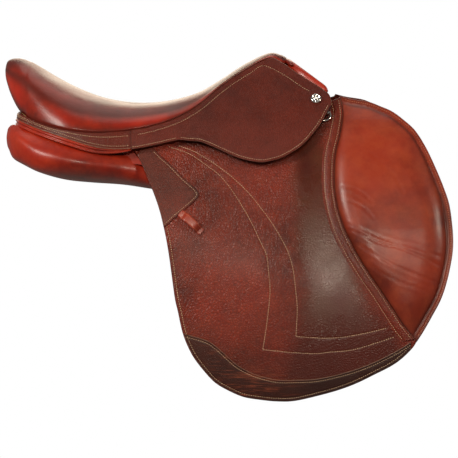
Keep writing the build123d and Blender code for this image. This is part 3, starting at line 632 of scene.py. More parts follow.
by_fold = [(x, float(fold_z(x))) for x in range(146, -131, -4)]
flap_top = even([(156, 137), (150, 128), *by_fold, (-132, 62)], 4.0)
flap_runs = [(flap_rear, True), (knee_outer, True), (flap_top, False)]
lines = [edge_stitch, *stitch_a, *stitch_b, strap_near, strap_far]
flap = sheet(flap_runs, 0.0, FLAP_TOP, 1.3, 2.9, lines, flap_relief, 0.3)
flap["fields"].update(flap_fields(flap))
piece("flap_leather", flap, [flap_leather, dark_edge], "{}_flap_body", ["{}_flap"])


def flap_face(points):
    """Depth of the flap's outer face."""
    near = far(points, np.vstack([flap_rear, knee_outer]))
    return FLAP_TOP + flap_relief(points, near)


def sew(name, at, tangent, normal, body, slot, material, length=2.2, radius=0.42, lean=8.0):
    """Stitches at these points: short rounded threads lying along the seam."""
    rings, sides = 5, 6
    turn = np.linspace(0, 2 * math.pi, sides, endpoint=False)
    run = np.linspace(-1, 1, rings)
    girth = np.sqrt(np.maximum(1 - run**2, 0.09))
    shape = np.array([
        (r * length / 2, g * radius * math.cos(t), g * radius * math.sin(t))
        for r, g in zip(run, girth) for t in turn
    ])
    cross = np.cross(normal, tangent)
    tilt = math.radians(lean)
    tangent, cross = (
        tangent * math.cos(tilt) + cross * math.sin(tilt),
        cross * math.cos(tilt) - tangent * math.sin(tilt),
    )
    verts = (
        at[:, None, :] + shape[None, :, 0:1] * tangent[:, None, :]
        + shape[None, :, 1:2] * cross[:, None, :] + shape[None, :, 2:3] * normal[:, None, :]
    )
    single = grid_faces(rings, sides, closed=True, caps=True)
    faces = [tuple(i + k * len(shape) for i in f) for k in range(len(at)) for f in single]
    piece(name, {"verts": verts.reshape(-1, 3), "faces": faces}, [material], body)


def unit(v):
    return v / np.maximum(np.linalg.norm(v, axis=-1, keepdims=True), 1e-9)


def stitch_rows(paths, depth, pitch=3.1, sunk=0.12):
    """Places, directions and outward normals of stitches along lines of the side view."""
    at, tangent, normal = [], [], []
    for path in paths:
        spots = even(path, pitch)
        deep = depth(spots) - sunk if callable(depth) else np.full(len(spots), depth - sunk)
        here = on_side(spots[:, 0], spots[:, 1], deep)
        out = unit(on_side(spots[:, 0], spots[:, 1], deep + 1.0) - here)
        run = unit(np.gradient(here, axis=0))
        up = unit(np.cross(run, np.array([0, -1.0, 0])))
        out = unit(np.cross(up, run))
        out = np.where(out[:, 1:2] > 0, -out, out)
        at.append(here[:-1] * 0.5 + here[1:] * 0.5)
        tangent.append(unit(here[1:] - here[:-1]))
        normal.append(out[:-1])
    return np.vstack(at), np.vstack(tangent), np.vstack(normal)


sew(
    "flap_stitching", *stitch_rows(lines[:5], flap_face), "{}_flap_body", "flap_leather", thread,
    2.3, 0.52,
)

# Strap of the flap that borders the knee pad

strap_left = shifted(knee_inner, -17.0)[2:-6]
strap_runs = [
    (knee_inner[1:-2], True),
    (even([knee_inner[-3], strap_left[-1]], 2.5), False),
    (strap_left[::-1], False),
    (even([strap_left[0], knee_inner[1]], 2.5), False),
]


def strap_relief(flat, near):
    away = far(flat, strap_left)
    under = flap_relief(flat, np.full(len(flat), 40.0))
    return -PATCH_THICK * 1.15 * (1 - ramp(away, 0, 9)) + under * 0.6


strap = sheet(
    strap_runs, PATCH_BASE - 1.0, PATCH_THICK + 0.9, 0.7, 2.6, [strap_near, strap_far], strap_relief, 0.3
)
strap["fields"].update(even_fields(strap, worn=0.25, grain=0.45, shade=0.25, scuff=0.0))
piece("knee_strap", strap, [flap_leather, pale_edge], "{}_flap_body")


def strap_face(points):
    return PATCH_BASE - 0.1 + PATCH_THICK + strap_relief(points, None)


sew(
    "strap_stitching", *stitch_rows([strap_near, strap_far], strap_face), "{}_flap_body",
    "flap_leather", thread,
)

# Rear patch and lower guard

patch_rear = line([(-127, 57), (-118, 40), (-111, 24), (-101, -2), (-95, -20), (-89, -41)])
patch_upper = line([(-106, 67), (-95, 56), (-79, 42), (-63, 26), (-49, 14), (-44, 9)])
patch_nose = line([(-44, 9), (-41.5, 5), (-42, 1), (-46, -4)], 1.2)
patch_low = line([(-46, -4), (-55, -12), (-71, -25), (-89, -41)])
patch_top = even([(-127, 57), (-121, 66), (-106, 67)], 2.5)
patch_stitch = shifted(np.vstack([patch_upper[2:], patch_nose[1:], patch_low[1:-1]]), -3.0)
patch = sheet(
    [(patch_rear, True), (patch_low[::-1], True), (patch_nose[::-1], True),
     (patch_upper[::-1], True), (patch_top[::-1], False)],
    PATCH_BASE - 0.2, PATCH_THICK + 0.2, 0.7, 2.8, [patch_stitch], None, 0.25,
)
patch["fields"].update(even_fields(patch, worn=0.0, grain=1.0, shade=0.15, scuff=0.0))
piece(
    "patch_leather", patch, [patch_leather, dark_edge], "{}_flap_body", ["{}_rear_patch"]
)
patch_face = PATCH_BASE + PATCH_THICK
sew("patch_stitching", *stitch_rows([patch_stitch], patch_face), "{}_flap_body", "flap_leather", thread)

guard_hem = shifted(flap_rear, 1.4)
first = int(np.argmin(np.linalg.norm(flap_rear - (-62, -184), axis=1)))
last = int(np.argmin(np.linalg.norm(flap_rear - (249, -202), axis=1)))
guard_hem = guard_hem[first:last]
guard_seam = np.vstack([guard_hem[:1], guard_seam[1:-1], guard_hem[-1:] + (0, 4)])
guard_stitch = shifted(guard_seam, -3.4)[2:-2]
hem_stitch = shifted(guard_hem, 3.4)[2:-2]
guard = sheet(
    [(guard_hem, True), (even([guard_hem[-1], guard_seam[-1]], 2.0), True), (guard_seam[::-1], True)],
    PATCH_BASE - 0.2, PATCH_THICK + 0.3, 0.8, 2.8, [guard_stitch, hem_stitch], None, 0.25,
)
along = guard["verts"][:, 0]
guard["fields"].update({
    "worn": 0.25 * np.exp(-(((along - 150) / 60) ** 2)),
    "grain": np.full(len(along), 0.9), "shade": 0.72 + 0.2 * ramp(along, 40, 120),
    "scuff": np.exp(-(((along - 30) / 48) ** 2)) * 0.9,
})
piece(
    "guard_leather", guard, [patch_leather, pale_edge], "{}_flap_body",
    ["{}_lower_guard"],
)
sew(
    "guard_stitching", *stitch_rows([guard_stitch, hem_stitch], PATCH_BASE + PATCH_THICK + 0.1),
    "{}_flap_body", "flap_leather", thread,
)

# Knee pad

KNEE_CROWN = np.array([
    (-193, 0.5), (-188, 2), (-175, 5), (-140, 10), (-90, 14), (-41, 16), (11, 15), (60, 13), (105, 10),
    (126, 6), (134, 2), (140, 1),
], float)
WRINKLES = [
    ([(157, -2), (170, -6), (186, -15), (196, -26)], 0.5),
    ([(152, 16), (166, 14), (182, 7), (194, -4)], 0.4),
    ([(165, -42), (184, -50), (206, -60), (232, -66), (262, -78), (290, -92)], 0.8),
    ([(162, -36), (182, -42), (204, -52), (230, -60), (262, -68), (292, -80)], 0.6),
    ([(176, -62), (196, -74), (222, -88), (250, -100), (280, -112)], 0.6),
    ([(190, -88), (208, -100), (232, -112), (256, -120), (276, -130)], 0.45),
    ([(196, 60), (212, 46), (228, 28), (238, 8)], 0.35),
    ([(188, 64), (204, 50), (220, 32)], 0.3),
    ([(250, 30), (262, 12), (272, -8), (276, -28)], 0.3),
]
wrinkle_lines = [(line(points), deep) for points, deep in WRINKLES]


def knee_relief(flat, near):
    to_inner, to_outer = far(flat, knee_inner), far(flat, knee_outer)
    rim = np.interp(flat[:, 1], [-160, 40, 110, 137], [9.5, 9.0, 6.5, 5.0])
    crown = np.interp(flat[:, 1], KNEE_CROWN[:, 0], KNEE_CROWN[:, 1])
    q_in = 1 - np.clip(to_inner / 25, 0, 1)
    q_out = 1 - np.clip((to_outer - rim) / 34, 0, 1)
    dome = crown * np.sqrt(1 - q_in**2) * np.sqrt(1 - q_out**2)
    crease = -0.9 * np.exp(-(((to_outer - rim) / 1.1) ** 2)) * ramp(to_inner, 2, 8)
    folds = 0.0
    for path, deep in wrinkle_lines:
        away = far(flat, path)
        folds = folds - 0.45 * deep * np.exp(-((away / 1.5) ** 2))
        folds = folds + 0.3 * deep * np.exp(-(((away - 4.0) / 2.6) ** 2))
    folds = folds * ramp(to_inner, 2, 9) * ramp(to_outer, 9, 18)
    return dome + crease + folds


rim_stitch = shifted(knee_outer, 3.4)[3:-3]
rim_crease = shifted(knee_outer, 9.0)[3:-6]
fine_lines = [shifted(rim_crease, by) for by in (-1.0, 0.0, 1.0)] + [p for p, _ in wrinkle_lines]
knee = sheet(
    [(knee_outer, True), (knee_inner, True)], PATCH_BASE - 0.9, 2.2, 0.9, 2.3,
    [rim_stitch], knee_relief, 0.3, fine_lines,
)
flat = knee["flat"]
to_inner, to_outer = far(flat, knee_inner), far(flat, knee_outer)
# Painted shade in the crevice along the knee pad's inner edge and in the rim crease; the band by the outer
# edge a little darker, and the pad darker towards the bottom.
shade = 0.8 * np.exp(-((to_inner / 2.2) ** 2)) + 0.7 * np.exp(-(((to_outer - 9) / 1.6) ** 2)) + 0.25 * (
    1 - ramp(to_outer, 0, 9))
shade = np.clip(shade + 0.25 * ramp(-flat[:, 1], 60, 180), 0, 0.9)
knee["fields"]["shade"] = both_faces(knee, shade)
piece(
    "knee_leather", knee, [knee_leather, dark_edge], "{}_flap_body", ["{}_knee_pad"],
)
sew(
    "knee_stitching", *stitch_rows([rim_stitch], lambda p: PATCH_BASE + 1.3 + knee_relief(p, None)),
    "{}_flap_body", "panel_leather", red_thread,
)

# Skirt: the part above the fold, and the lobe below it

seam_points = [(x, z - 0.3) for x, _, z, _, _ in SEAT_STATIONS[1:8][::-1]] + [(72, 186)]
seam_points[0] = (-135.5, 91.0)
skirt_seam = line(seam_points)
skirt_front = line([(72, 186), (81, 180), (95, 170), (109, 161), (124, 152), (134, 145)])
skirt_corner = line([(134, 145), (139, 141), (142, 136), (143, 130), (143, 125.2)], 1.5)
fold_xs = np.arange(143, -70.1, -3.0)
fold_line = np.stack([fold_xs, fold_z(fold_xs)], 1)
fold_line[0] = (143, fold_z(143.0))
fold_line[-1] = (-70, fold_z(-70.0))
low_edge = line([(-70, float(fold_z(-70.0))), (-96, 71.8), (-116, 67.6), (-135.5, 64.5)])
rear_cut = even([(-135.5, 64.5), (-135.5, 91.0)], 2.5)
by_seam, by_front = shifted(skirt_seam, -7.5)[3:-8], shifted(skirt_front, -13.0)[7:-3]
skirt_stitch = [line(np.vstack([by_seam[::8], by_front[::8]]))]
low_stitch = shifted(low_edge, -3.2)[1:-1]
upper = sheet(
    [(skirt_seam, True), (skirt_front, True), (skirt_corner, True), (fold_line, False),
     (low_edge, True), (rear_cut, False)],
    SKIRT_BASE, SKIRT_THICK, 1.2, 3.0, [*skirt_stitch, low_stitch], None, 0.3,
)

lobe_edge = line([(-70, float(fold_z(-70.0))), *LOBE_EDGE[1:-1], (143, float(fold_z(143.0)))])
lobe_stitch = shifted(lobe_edge, 3.4)[1:-1]
lobe = sheet(
    [(lobe_edge, True), (fold_line, False)], SKIRT_BASE, SKIRT_THICK, 1.2, 3.0, [lobe_stitch], None, 0.3,
)


def bent(name, data, materials, replaces):
    """A pair of pieces, one for each side, attached to no body."""
    for side in SIDES:
        obj = build(f"{side}_{name}", side, dict(data, fields={}), materials)
        finished(obj.data)
        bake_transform(obj)
        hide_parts(replaces.format(side))


fold_here = np.array([0.0, -105.467, 93.111])
fold_run = np.array([0.966333, 0.141729, 0.214741])
down = unit(on_side([0.0], [80.0], FOLD_DEPTH)[0] - fold_here)
down = unit(down - (down @ fold_run) * fold_run)
bent(
    "skirt_upper_leather", upper, [skirt_leather, pale_edge],
    "{}_upper_skirt",
)
bent(
    "skirt_lobe_leather", lobe, [skirt_leather, pale_edge],
    "{}_skirt_lobe",
)
skirt_face = SKIRT_BASE + SKIRT_THICK
rows = stitch_rows([*skirt_stitch, low_stitch], skirt_face)
for side, flip in (("right", 1), ("left", -1)):
    at, run, out = (v * (1, flip, 1) for v in rows)
    sew(f"{side}_skirt_stitching", at, run, out, "saddle", "skirt_leather", thread, lean=8.0 * flip)
sew("lobe_stitching", *stitch_rows([lobe_stitch], skirt_face), "{}_skirt_body", "skirt_leather", thread)

# Seat

SEAT_OVER = 44


def seat_section(half, seam, shoulder, crown, count):
    """Line over the seat at one station, from the right seam to the left."""
    wide = half * SHOULDER_SHARE
    lean = half * (1 - SHOULDER_SHARE) * WALL_LEAN
    p = np.array([(-half, seam), (-wide, shoulder), (0, crown), (wide, shoulder), (half, seam)])
    slope = np.zeros((5, 2))
    slope[0], slope[4] = (lean * 1.6, (shoulder - seam) * 1.6), (lean * 1.6, (seam - shoulder) * 1.6)
    chord = np.linalg.norm(np.diff(p, axis=0), axis=1)
    for i in (1, 2, 3):
        a, b = chord[i - 1], chord[i]
        slope[i] = ((p[i] - p[i - 1]) / a * b + (p[i + 1] - p[i]) / b * a) / (a + b)
    out = []
    for u in np.linspace(0, 4, count):
        i = min(int(u), 3)
        t = u - i
        size = chord[i]
        s0 = slope[0] if i == 0 else slope[i] * size
        s1 = slope[4] if i == 3 else slope[i + 1] * size
        out.append(
            (2 * t**3 - 3 * t**2 + 1) * p[i] + (t**3 - 2 * t**2 + t) * s0
            + (3 * t**2 - 2 * t**3) * p[i + 1] + (t**3 - t**2) * s1
        )
    return np.array(out)


def seat_rings(inset, stations, count=SEAT_OVER, under=10):
    """Closed rings of the seat, with points over it and under it."""
    rings = []
    for x, half, seam, shoulder, crown in stations:
        over = seat_section(half - inset, seam, shoulder - inset, crown - inset, count)
        share = np.linspace(0, 1, under + 2)[1:-1]
        low = np.stack([half * (1 - 2 * share), np.full(under, seam) - 3 * np.sin(math.pi * share)], 1)
        ring = np.vstack([over, low])
        rings.append(np.column_stack([np.full(len(ring), x), ring]))
    return rings


def closing(station, middle, steps):
    """Stations that shrink toward a middle height and round off an end of the seat."""
    out = []
    for step, share in steps:
        row = station.copy()
        row[0] += step
        row[1] *= share
        row[2:] = middle + (row[2:] - middle) * share
        out.append(row)
    return out


dense = smooth(SEAT_STATIONS, 9)
nose_caps = closing(dense[0], dense[0][2], ((9.5, 0.3), (8.0, 0.55), (4.5, 0.8), (0.0, 0.97)))
tail_caps = closing(dense[-1], (dense[-1][2] + dense[-1][4]) / 2, ((-1.2, 0.82), (-2.0, 0.55), (-2.4, 0.25)))
rings = seat_rings(0.0, np.vstack([*nose_caps, dense, *tail_caps]))
columns = len(rings[0])
seat_verts = np.vstack(rings)


def relax(verts, rows, columns, chosen, times=6):
    """Evens out the chosen points of a grid of closed rings."""
    grid = verts.reshape(rows, columns, 3).copy()
    mask = chosen.reshape(rows, columns)[..., None]
    for _ in range(times):
        around = (np.roll(grid, 1, 1) + np.roll(grid, -1, 1)) / 2
        along = grid.copy()
        along[1:-1] = (grid[:-2] + grid[2:]) / 2
        grid = np.where(mask, grid * 0.4 + around * 0.3 + along * 0.3, grid)
    return grid.reshape(-1, 3)


seat_verts = relax(seat_verts, len(rings), columns, seat_verts[:, 0] < -284, 10)
over = np.arange(SEAT_OVER)
# Painted shade and reflection on the seat: darker by the seam, a dark band along the shoulder standing for a
# dark reflection, and a darker top under the reflected sheen.
across = np.minimum(over, over[::-1]) / (SEAT_OVER - 1) * 4
painted_seat_shade = 0.75 * np.exp(-((across / 0.16) ** 2)) + 0.8 * np.exp(-(((across - 1.0) / 0.3) ** 2))
painted_seat_shade = np.maximum(painted_seat_shade, 0.6 * ramp(across, 0.9, 1.3))
seat = {
    "verts": seat_verts, "faces": grid_faces(len(rings), columns, True, True),
    "fields": {"shade": np.tile(np.r_[painted_seat_shade, np.full(columns - SEAT_OVER, 0.1)], len(rings))},
}
piece("seat_leather", seat, [seat_leather], "saddle", ["seat_cover"], tidy=True)
foam_stations = smooth(SEAT_STATIONS[:-3], 5) + np.array([0, 0, 3.0, 0, 0])
foam_rings = seat_rings(5.0, foam_stations, 36, 9)
foam = {
    "verts": np.vstack(foam_rings), "faces": grid_faces(len(foam_rings), len(foam_rings[0]), True, True),
}
piece("seat_padding", foam, [felt], "saddle", ["seat_foam"], tidy=True)

# Cantle band and rear welt, along the rear seam

SEAT_MIDDLE = (-190, 0, 0)
seam_half = [(-135.5, -115.5, 91.0)] + [(x, -h, z) for x, h, z, _, _ in SEAT_STATIONS[7:13]]
other_half = [(x, -y, z) for x, y, z in seam_half[::-1]]
seam_path = even(smooth([*seam_half, (-302, 0, 113), *other_half], 14), 4.0)
run = np.gradient(seam_path, axis=0)
run[:, 2] = 0
run = unit(run)
out = np.cross(run, (0, 0, 1.0))
out = np.where((out * (seam_path - SEAT_MIDDLE)).sum(1, keepdims=True) < 0, -out, out)
tall = 8.0 + 16.0 * ramp(seam_path[:, 0], -255, -145)
flare = 5.0 * tall / 24.0 + 5.2 * ramp(seam_path[:, 0], -205, -136)


def swept(path, out, outline):
    """Rings along a path: outline gives (outward, up) points at each of its places."""
    rings = []
    for i, place in enumerate(path):
        flat = np.array(outline(i))
        rings.append(place + flat[:, :1] * out[i] + flat[:, 1:] * np.array([0, 0, 1.0]))
    return np.vstack(rings), len(rings), len(rings[0])


def band_outline(i):
    t, f = tall[i], flare[i]
    points = [(-2.6, -0.3), (-1.2, 0.2), (-0.2, -0.5), (0.1, -1.6)]
    points += [(f * s + 0.25 * math.sin(math.pi * s), -t * s) for s in (0.2, 0.4, 0.6, 0.8, 0.92)]
    points += [(f + 0.4, -t + 0.4), (f + 0.2, -t - 0.4), (f - 0.8, -t - 0.8), (f - 2.2, -t - 0.4)]
    points += [(f - 3.4, -t + 0.8), (f * 0.5 - 3.4, -t * 0.5), (-3.3, -1.6)]
    return points


verts, rows_n, columns_n = swept(seam_path, out, band_outline)
marks = []
for r in range(rows_n - 1):
    marks += [1 if c in (9, 10, 11) else 0 for c in range(columns_n)]
band = {"verts": verts, "faces": grid_faces(rows_n, columns_n, True, True), "marks": marks + [0, 0]}
piece("band_leather", band, [skirt_leather, pale_edge], "saddle", ["cantle_band"], tidy=True)


def welt_outline(i):
    size = min(1.0, 0.35 + 6 * min(i, len(seam_path) - 1 - i) / (len(seam_path) - 1))
    start = flare[i] - 2.2
    top = -tall[i] - 0.3
    h, b = 10.4 * size, 3.0 * size
    points = []
    for k, base in ((0, 0.0), (1, h / 2)):
        for s in np.linspace(0.0 if k == 0 else 0.14, 1.0 if k else 0.86, 7):
            points.append((start + 0.9 * size + b * math.sin(math.pi * s), top - base - h / 2 * s))
    points += [(start - 1.6 * size, top - h), (start - 2 * size, top - h / 2), (start - 1.6 * size, top)]
    return points


verts, rows_n, columns_n = swept(seam_path, out, welt_outline)
welt = {"verts": verts, "faces": grid_faces(rows_n, columns_n, True, True)}
welt["fields"] = {"shade": np.zeros(len(verts))}
piece("welt_leather", welt, [panel_leather], "saddle", ["rear_welt"], tidy=True)


def ring_stitches(name, share_low, lift, material, slot, pitch=3.1, shift_out=0.25):
    """A row of stitches round the band, a share of its height down."""
    spots = np.stack([
        place + o * (f * share_low + shift_out) + np.array([0, 0, -t * share_low + lift])
        for place, o, f, t in zip(seam_path, out, flare, tall)
    ])
    spots = even(spots[1:-1], pitch)
    here = (spots[1:] + spots[:-1]) / 2
    along = unit(spots[1:] - spots[:-1])
    side_out = unit(np.cross(along, (0, 0, 1.0)))
    facing_in = (side_out * (here - SEAT_MIDDLE)).sum(1, keepdims=True) < 0
    side_out = np.where(facing_in, -side_out, side_out)
    sew(name, here, along, side_out, "saddle", slot, material)


ring_stitches("band_stitching_low", 1.0, 3.6, thread, "skirt_leather", shift_out=-0.45)
ring_stitches("band_stitching_high", 0.3, 0.0, thread, "skirt_leather", shift_out=0.3)
ring_stitches("welt_stitching", 1.0, -5.6, dark_edge, "panel_leather", 2.6, -0.9)

# Pommel facing

lean = math.radians(36.75)
arch_origin = np.array([80.2, 0.0, 184.6])
arch_x, arch_y = np.array([0, -1.0, 0]), np.array([math.cos(lean), 0, -math.sin(lean)])
arch_normal = np.array([math.sin(lean), 0, math.cos(lean)])
angles = np.radians(np.linspace(-157, -23, 60))
arc = np.stack([55.5 * np.cos(angles), 59 + 55.5 * np.sin(angles)], 1)
leg_turn = math.radians(67)
legs = np.linspace(0, 37, 12)[1:]
right_leg = arc[-1] + legs[:, None] * (math.cos(leg_turn), math.sin(leg_turn))
left_leg = arc[0] + legs[::-1, None] * (-math.cos(leg_turn), math.sin(leg_turn))
arch = np.vstack([left_leg, arc, right_leg])
arch_run = unit(np.gradient(arch, axis=0))
arch_side = np.stack([arch_run[:, 1], -arch_run[:, 0]], 1)
rings = []
ends = np.minimum(np.arange(len(arch)), len(arch) - 1 - np.arange(len(arch)))
for place, side_dir, end in zip(arch, arch_side, ends):
    size = math.sin(math.pi / 2 * min(1.0, 0.3 + end / 4))
    ring = []
    for turn in np.linspace(0, 2 * math.pi, 20, endpoint=False):
        c, s = math.cos(turn), math.sin(turn)
        wide = 6.8 * size * math.copysign(abs(c) ** 0.8, c)
        deep = 4.8 * size * math.copysign(abs(s) ** 0.8, s)
        spot = place + side_dir * deep
        ring.append(arch_origin + spot[0] * arch_x + spot[1] * arch_y + wide * arch_normal)
    rings.append(ring)
verts = np.array(rings).reshape(-1, 3)
facing = {
    "verts": verts, "faces": grid_faces(len(rings), 20, True, True),
    "fields": {"shade": np.zeros(len(verts))},
}
piece("facing_leather", facing, [panel_leather], "saddle", ["pommel_facing"], tidy=True)

piping = []
nose_arc = [
    (place, side) for place, side in zip(arch, arch_side) if abs(place[0]) < 36 and place[1] < 40
]
for i, (place, side_dir) in enumerate(nose_arc):
    size = math.sin(math.pi / 2 * min(1.0, 0.3 + min(i, len(nose_arc) - 1 - i) / 4))
    ring = []
    for turn in np.linspace(0, 2 * math.pi, 12, endpoint=False):
        spot = place + side_dir * (7.4 + 3.0 * size * math.sin(turn))
        up = 2.0 + 3.0 * size * math.cos(turn)
        ring.append(arch_origin + spot[0] * arch_x + spot[1] * arch_y + up * arch_normal)
    piping.append(ring)
piping_data = {
    "verts": np.array(piping).reshape(-1, 3), "faces": grid_faces(len(piping), 12, True, True),
    "fields": {"shade": np.full(12 * len(piping), 0.5)},
}
piece("facing_piping", piping_data, [seat_leather], "saddle", tidy=True)

rail_end = sheet(
    [(even([(-146, 46), (-120, 43)], 3.0), False), (even([(-120, 43), (-120, 66)], 3.0), False),
     (even([(-120, 66), (-146, 62)], 3.0), False), (even([(-146, 62), (-146, 46)], 3.0), False)],
    -0.45, 0.35, 0.3, 4.0,
)
rail_end["fields"]["shade"] = np.full(len(rail_end["verts"]), 0.1)
twins("rail_end_leather", rail_end, panel_leather)

# Panels

PANEL_STATIONS = [
    (-311, 88, (60, 93), (77, 81), (70, 68), (56, 62), 68),
    (-304, 86, (68, 98), (93, 82), (88, 58), (62, 49), 56),
    (-290, 80, (82, 96), (111, 76), (104, 50), (68, 41), 47),
    (-265, 72, (106, 86), (131, 62), (121, 37), (72, 30), 36),
    (-230, 66, (126, 74), (143, 51), (128, 29), (74, 20), 29),
    (-192, 62, (132, 62), (143, 44), (126, 24), (74, 16), 26),
    (-150, 58, (119, 57), (131, 38), (118, 21), (74, 13), 23),
    (-115, 56, (101, 56), (114, 33), (109, 15), (74, 8), 18),
    (-60, 58, (104, 60), (121, 24), (114, 4), (73, 0), 12),
    (0, 62, (102, 70), (126, 20), (120, -8), (76, 1), 16),
    (60, 72, (96, 84), (132, 15), (130, -30), (86, 8), 34),
    (106, 84, (90, 94), (131, 10), (134, -42), (98, 12), 56),
    (136, 91, (85, 97), (124, 22), (129, -18), (104, 22), 67),
    (156, 96, (81, 100), (110, 46), (115, 16), (98, 38), 77),
    (166, 99, (76, 102), (92, 88), (93, 70), (80, 68), 82),
]
PANEL_FACE = -15.1
stations = np.array([[x, iz, *t, *m, *l, *b, cz] for x, iz, t, m, l, b, cz in PANEL_STATIONS], float)
stations = smooth(stations, 9)
rows_list = []
for row in stations:
    x, inner_z, ty, tz, my, mz, ly, lz, by, bz, corner_z = row
    corner = 30.0 + max(0, x - 60) / 6 + max(0, -x - 290) / 2
    outer = smooth([(-ty, tz), (-my, mz), (-ly, lz), (-by, bz), (-corner - 2, corner_z)], 9)
    inner = smooth([outer[-1], (-corner - 0.3, (inner_z + corner_z) / 2), (-corner - 1, inner_z)], 5)[1:]
    over = even([inner[-1], outer[0]], (ty - corner) / 9.0)[1:-1]
    while len(over) < 8:
        over = np.vstack([over, over[-1:]])
    ring = np.vstack([outer, inner, over[:8]])
    rows_list.append(np.column_stack([np.full(len(ring), x), ring]))
panel_grid = np.array(rows_list)
for end, push in ((0, -1), (-1, 1)):
    middle = panel_grid[end].mean(0)
    extra_rows = []
    for step, share in ((1.2, 0.9), (2.0, 0.66), (2.3, 0.3)):
        ring = middle + (panel_grid[end] - middle) * share
        ring[:, 0] = panel_grid[end][0, 0] + push * step
        extra_rows.append(ring)
    if end == 0:
        panel_grid = np.concatenate([np.array(extra_rows[::-1]), panel_grid])
    else:
        panel_grid = np.concatenate([panel_grid, np.array(extra_rows)])
rows_n, columns_n = panel_grid.shape[:2]
panel_verts = panel_grid.reshape(-1, 3)
panel_verts = relax(panel_verts, rows_n, columns_n, np.ones(len(panel_verts), bool), 3)
limit = on_side(panel_verts[:, 0], panel_verts[:, 2], PANEL_FACE)[:, 1]
hold = ramp(panel_verts[:, 0], -112, -97)
inward = np.maximum(limit - panel_verts[:, 1], 0)
panel_verts[:, 1] += inward * hold
panel = {
    "verts": panel_verts, "faces": grid_faces(rows_n, columns_n, True, True),
    "fields": {"shade": np.zeros(len(panel_verts))},
}
twins("panel_leather", panel, panel_leather, ["{}_panel"])

# Keeper

keeper_place = on_side([-52.0], [-35.0], FLAP_TOP)[0]
ahead = on_side([-51.0], [-35.0], FLAP_TOP)[0] - keeper_place
above = on_side([-52.0], [-34.0], FLAP_TOP)[0] - keeper_place
loop_out = unit(np.cross(unit(ahead), unit(above)))
loop_out = loop_out if loop_out[1] < 0 else -loop_out
slope = math.radians(-42.6)
loop_run = unit(unit(ahead) * math.cos(slope) + unit(above) * math.sin(slope))
loop_side = np.cross(loop_out, loop_run)
loop_path = smooth([
    (-20.5, 1.3), (-17, 1.3), (-14, 1.6), (-11.5, 4.6), (-8.5, 7.4), (0, 8.0), (8.5, 7.4), (12, 4.4),
    (14.5, 1.6), (17, 1.3), (20.5, 1.3)], 6)
loop_dir = unit(np.gradient(loop_path, axis=0))
rings = []
count = len(loop_path)
for i, ((s, h), (ds, dh)) in enumerate(zip(loop_path, loop_dir)):
    place = keeper_place + loop_run * s + loop_out * h
    up = loop_out * ds - loop_run * dh
    end = min(i, count - 1 - i)
    half = 5.9 * math.sin(math.pi / 2 * min(1.0, 0.55 + end / 6))
    ring = []
    for turn in np.linspace(0, 2 * math.pi, 18, endpoint=False):
        c, s_turn = math.cos(turn), math.sin(turn)
        wide = half * math.copysign(abs(c) ** 0.45, c)
        ring.append(place + loop_side * wide + up * 1.15 * math.copysign(abs(s_turn) ** 0.6, s_turn))
    rings.append(ring)
verts = np.array(rings).reshape(-1, 3)
keeper = {
    "verts": verts, "faces": grid_faces(count, 18, True, True), "fields": {"shade": np.zeros(len(verts))},
}
piece("keeper_leather", keeper, [keeper_leather], "{}_flap_body", ["{}_keeper"], tidy=True)
spots_at, spots_run, spots_out = [], [], []
for offset in (-3.6, 3.6):
    mid = even(loop_path[8:-8], 2.6)
    dirs = unit(np.gradient(mid, axis=0))
    ups = loop_out * dirs[:, :1] - loop_run * dirs[:, 1:]
    places = keeper_place + loop_run * mid[:, :1] + loop_out * mid[:, 1:] + loop_side * offset + ups * 1.05
    spots_at.append(places)
    spots_run.append(unit(loop_run * dirs[:, :1] + loop_out * dirs[:, 1:]))
    spots_out.append(ups)
sew(
    "keeper_stitching", np.vstack(spots_at), np.vstack(spots_run), np.vstack(spots_out),
    "{}_flap_body", "panel_leather", red_thread, 1.9, 0.36,
)

# Knee blocks under the flap

BLOCK_PLACE = np.array((243.0, -88.0))
BLOCK_BASE = -11.3
block_turn = math.radians(72)
u_dir = np.array([math.cos(block_turn), math.sin(block_turn)])
v_dir = np.array([-math.sin(block_turn), math.cos(block_turn)])
rings = []
turns = np.linspace(0, 2 * math.pi, 40, endpoint=False)
for share, deep in ((0.0, 9.0), (0.35, 8.8), (0.62, 8.0), (0.84, 5.6), (0.96, 2.6), (0.98, 0.9), (0.92, 0.3)):
    ring = []
    for turn in turns:
        c, s = math.cos(turn), math.sin(turn)
        straight = 40.0 * np.sign(c) * min(1.0, abs(c) * 3)
        spot = BLOCK_PLACE + u_dir * (straight * share + 16 * c * share) + v_dir * 16 * s * share
        ring.append(on_side([spot[0]], [spot[1]], BLOCK_BASE + deep)[0])
    rings.append(ring)
verts = np.array(rings).reshape(-1, 3)
block = {
    "verts": verts, "faces": grid_faces(len(rings), 40, True, True),
    "fields": {"shade": np.zeros(len(verts))},
}
twins("block_leather", block, panel_leather, ["{}_knee_block"])

# Studs on the skirts

STUD_X, STUD_Z = 121.6, 133.2
stud_place = on_side([STUD_X], [STUD_Z], skirt_face)[0]
stud_run = unit(on_side([122.6], [STUD_Z], skirt_face)[0] - stud_place)
stud_up = on_side([STUD_X], [134.2], skirt_face)[0] - stud_place
stud_out = unit(np.cross(stud_up, stud_run))
stud_out = stud_out if stud_out[1] < 0 else -stud_out
stud_up = np.cross(stud_out, stud_run)
rings = []
for reach, rise in (
    (7.7, 0.1), (7.7, 1.0), (7.3, 2.2), (6.4, 3.1), (5.5, 3.1), (4.6, 1.8), (3.2, 1.6), (2.6, 2.7),
    (1.8, 2.8), (1.0, 1.5), (0.3, 1.3),
):
    rings.append([
        stud_place + stud_out * rise + reach * (stud_run * math.cos(t) + stud_up * math.sin(t))
        for t in np.linspace(0, 2 * math.pi, 40, endpoint=False)
    ])
stud = {"verts": np.array(rings).reshape(-1, 3), "faces": grid_faces(len(rings), 40, True, True)}
twins("stud", stud, chrome, ["{}_skirt_stud"])

# CAD nodes that stay, with their materials

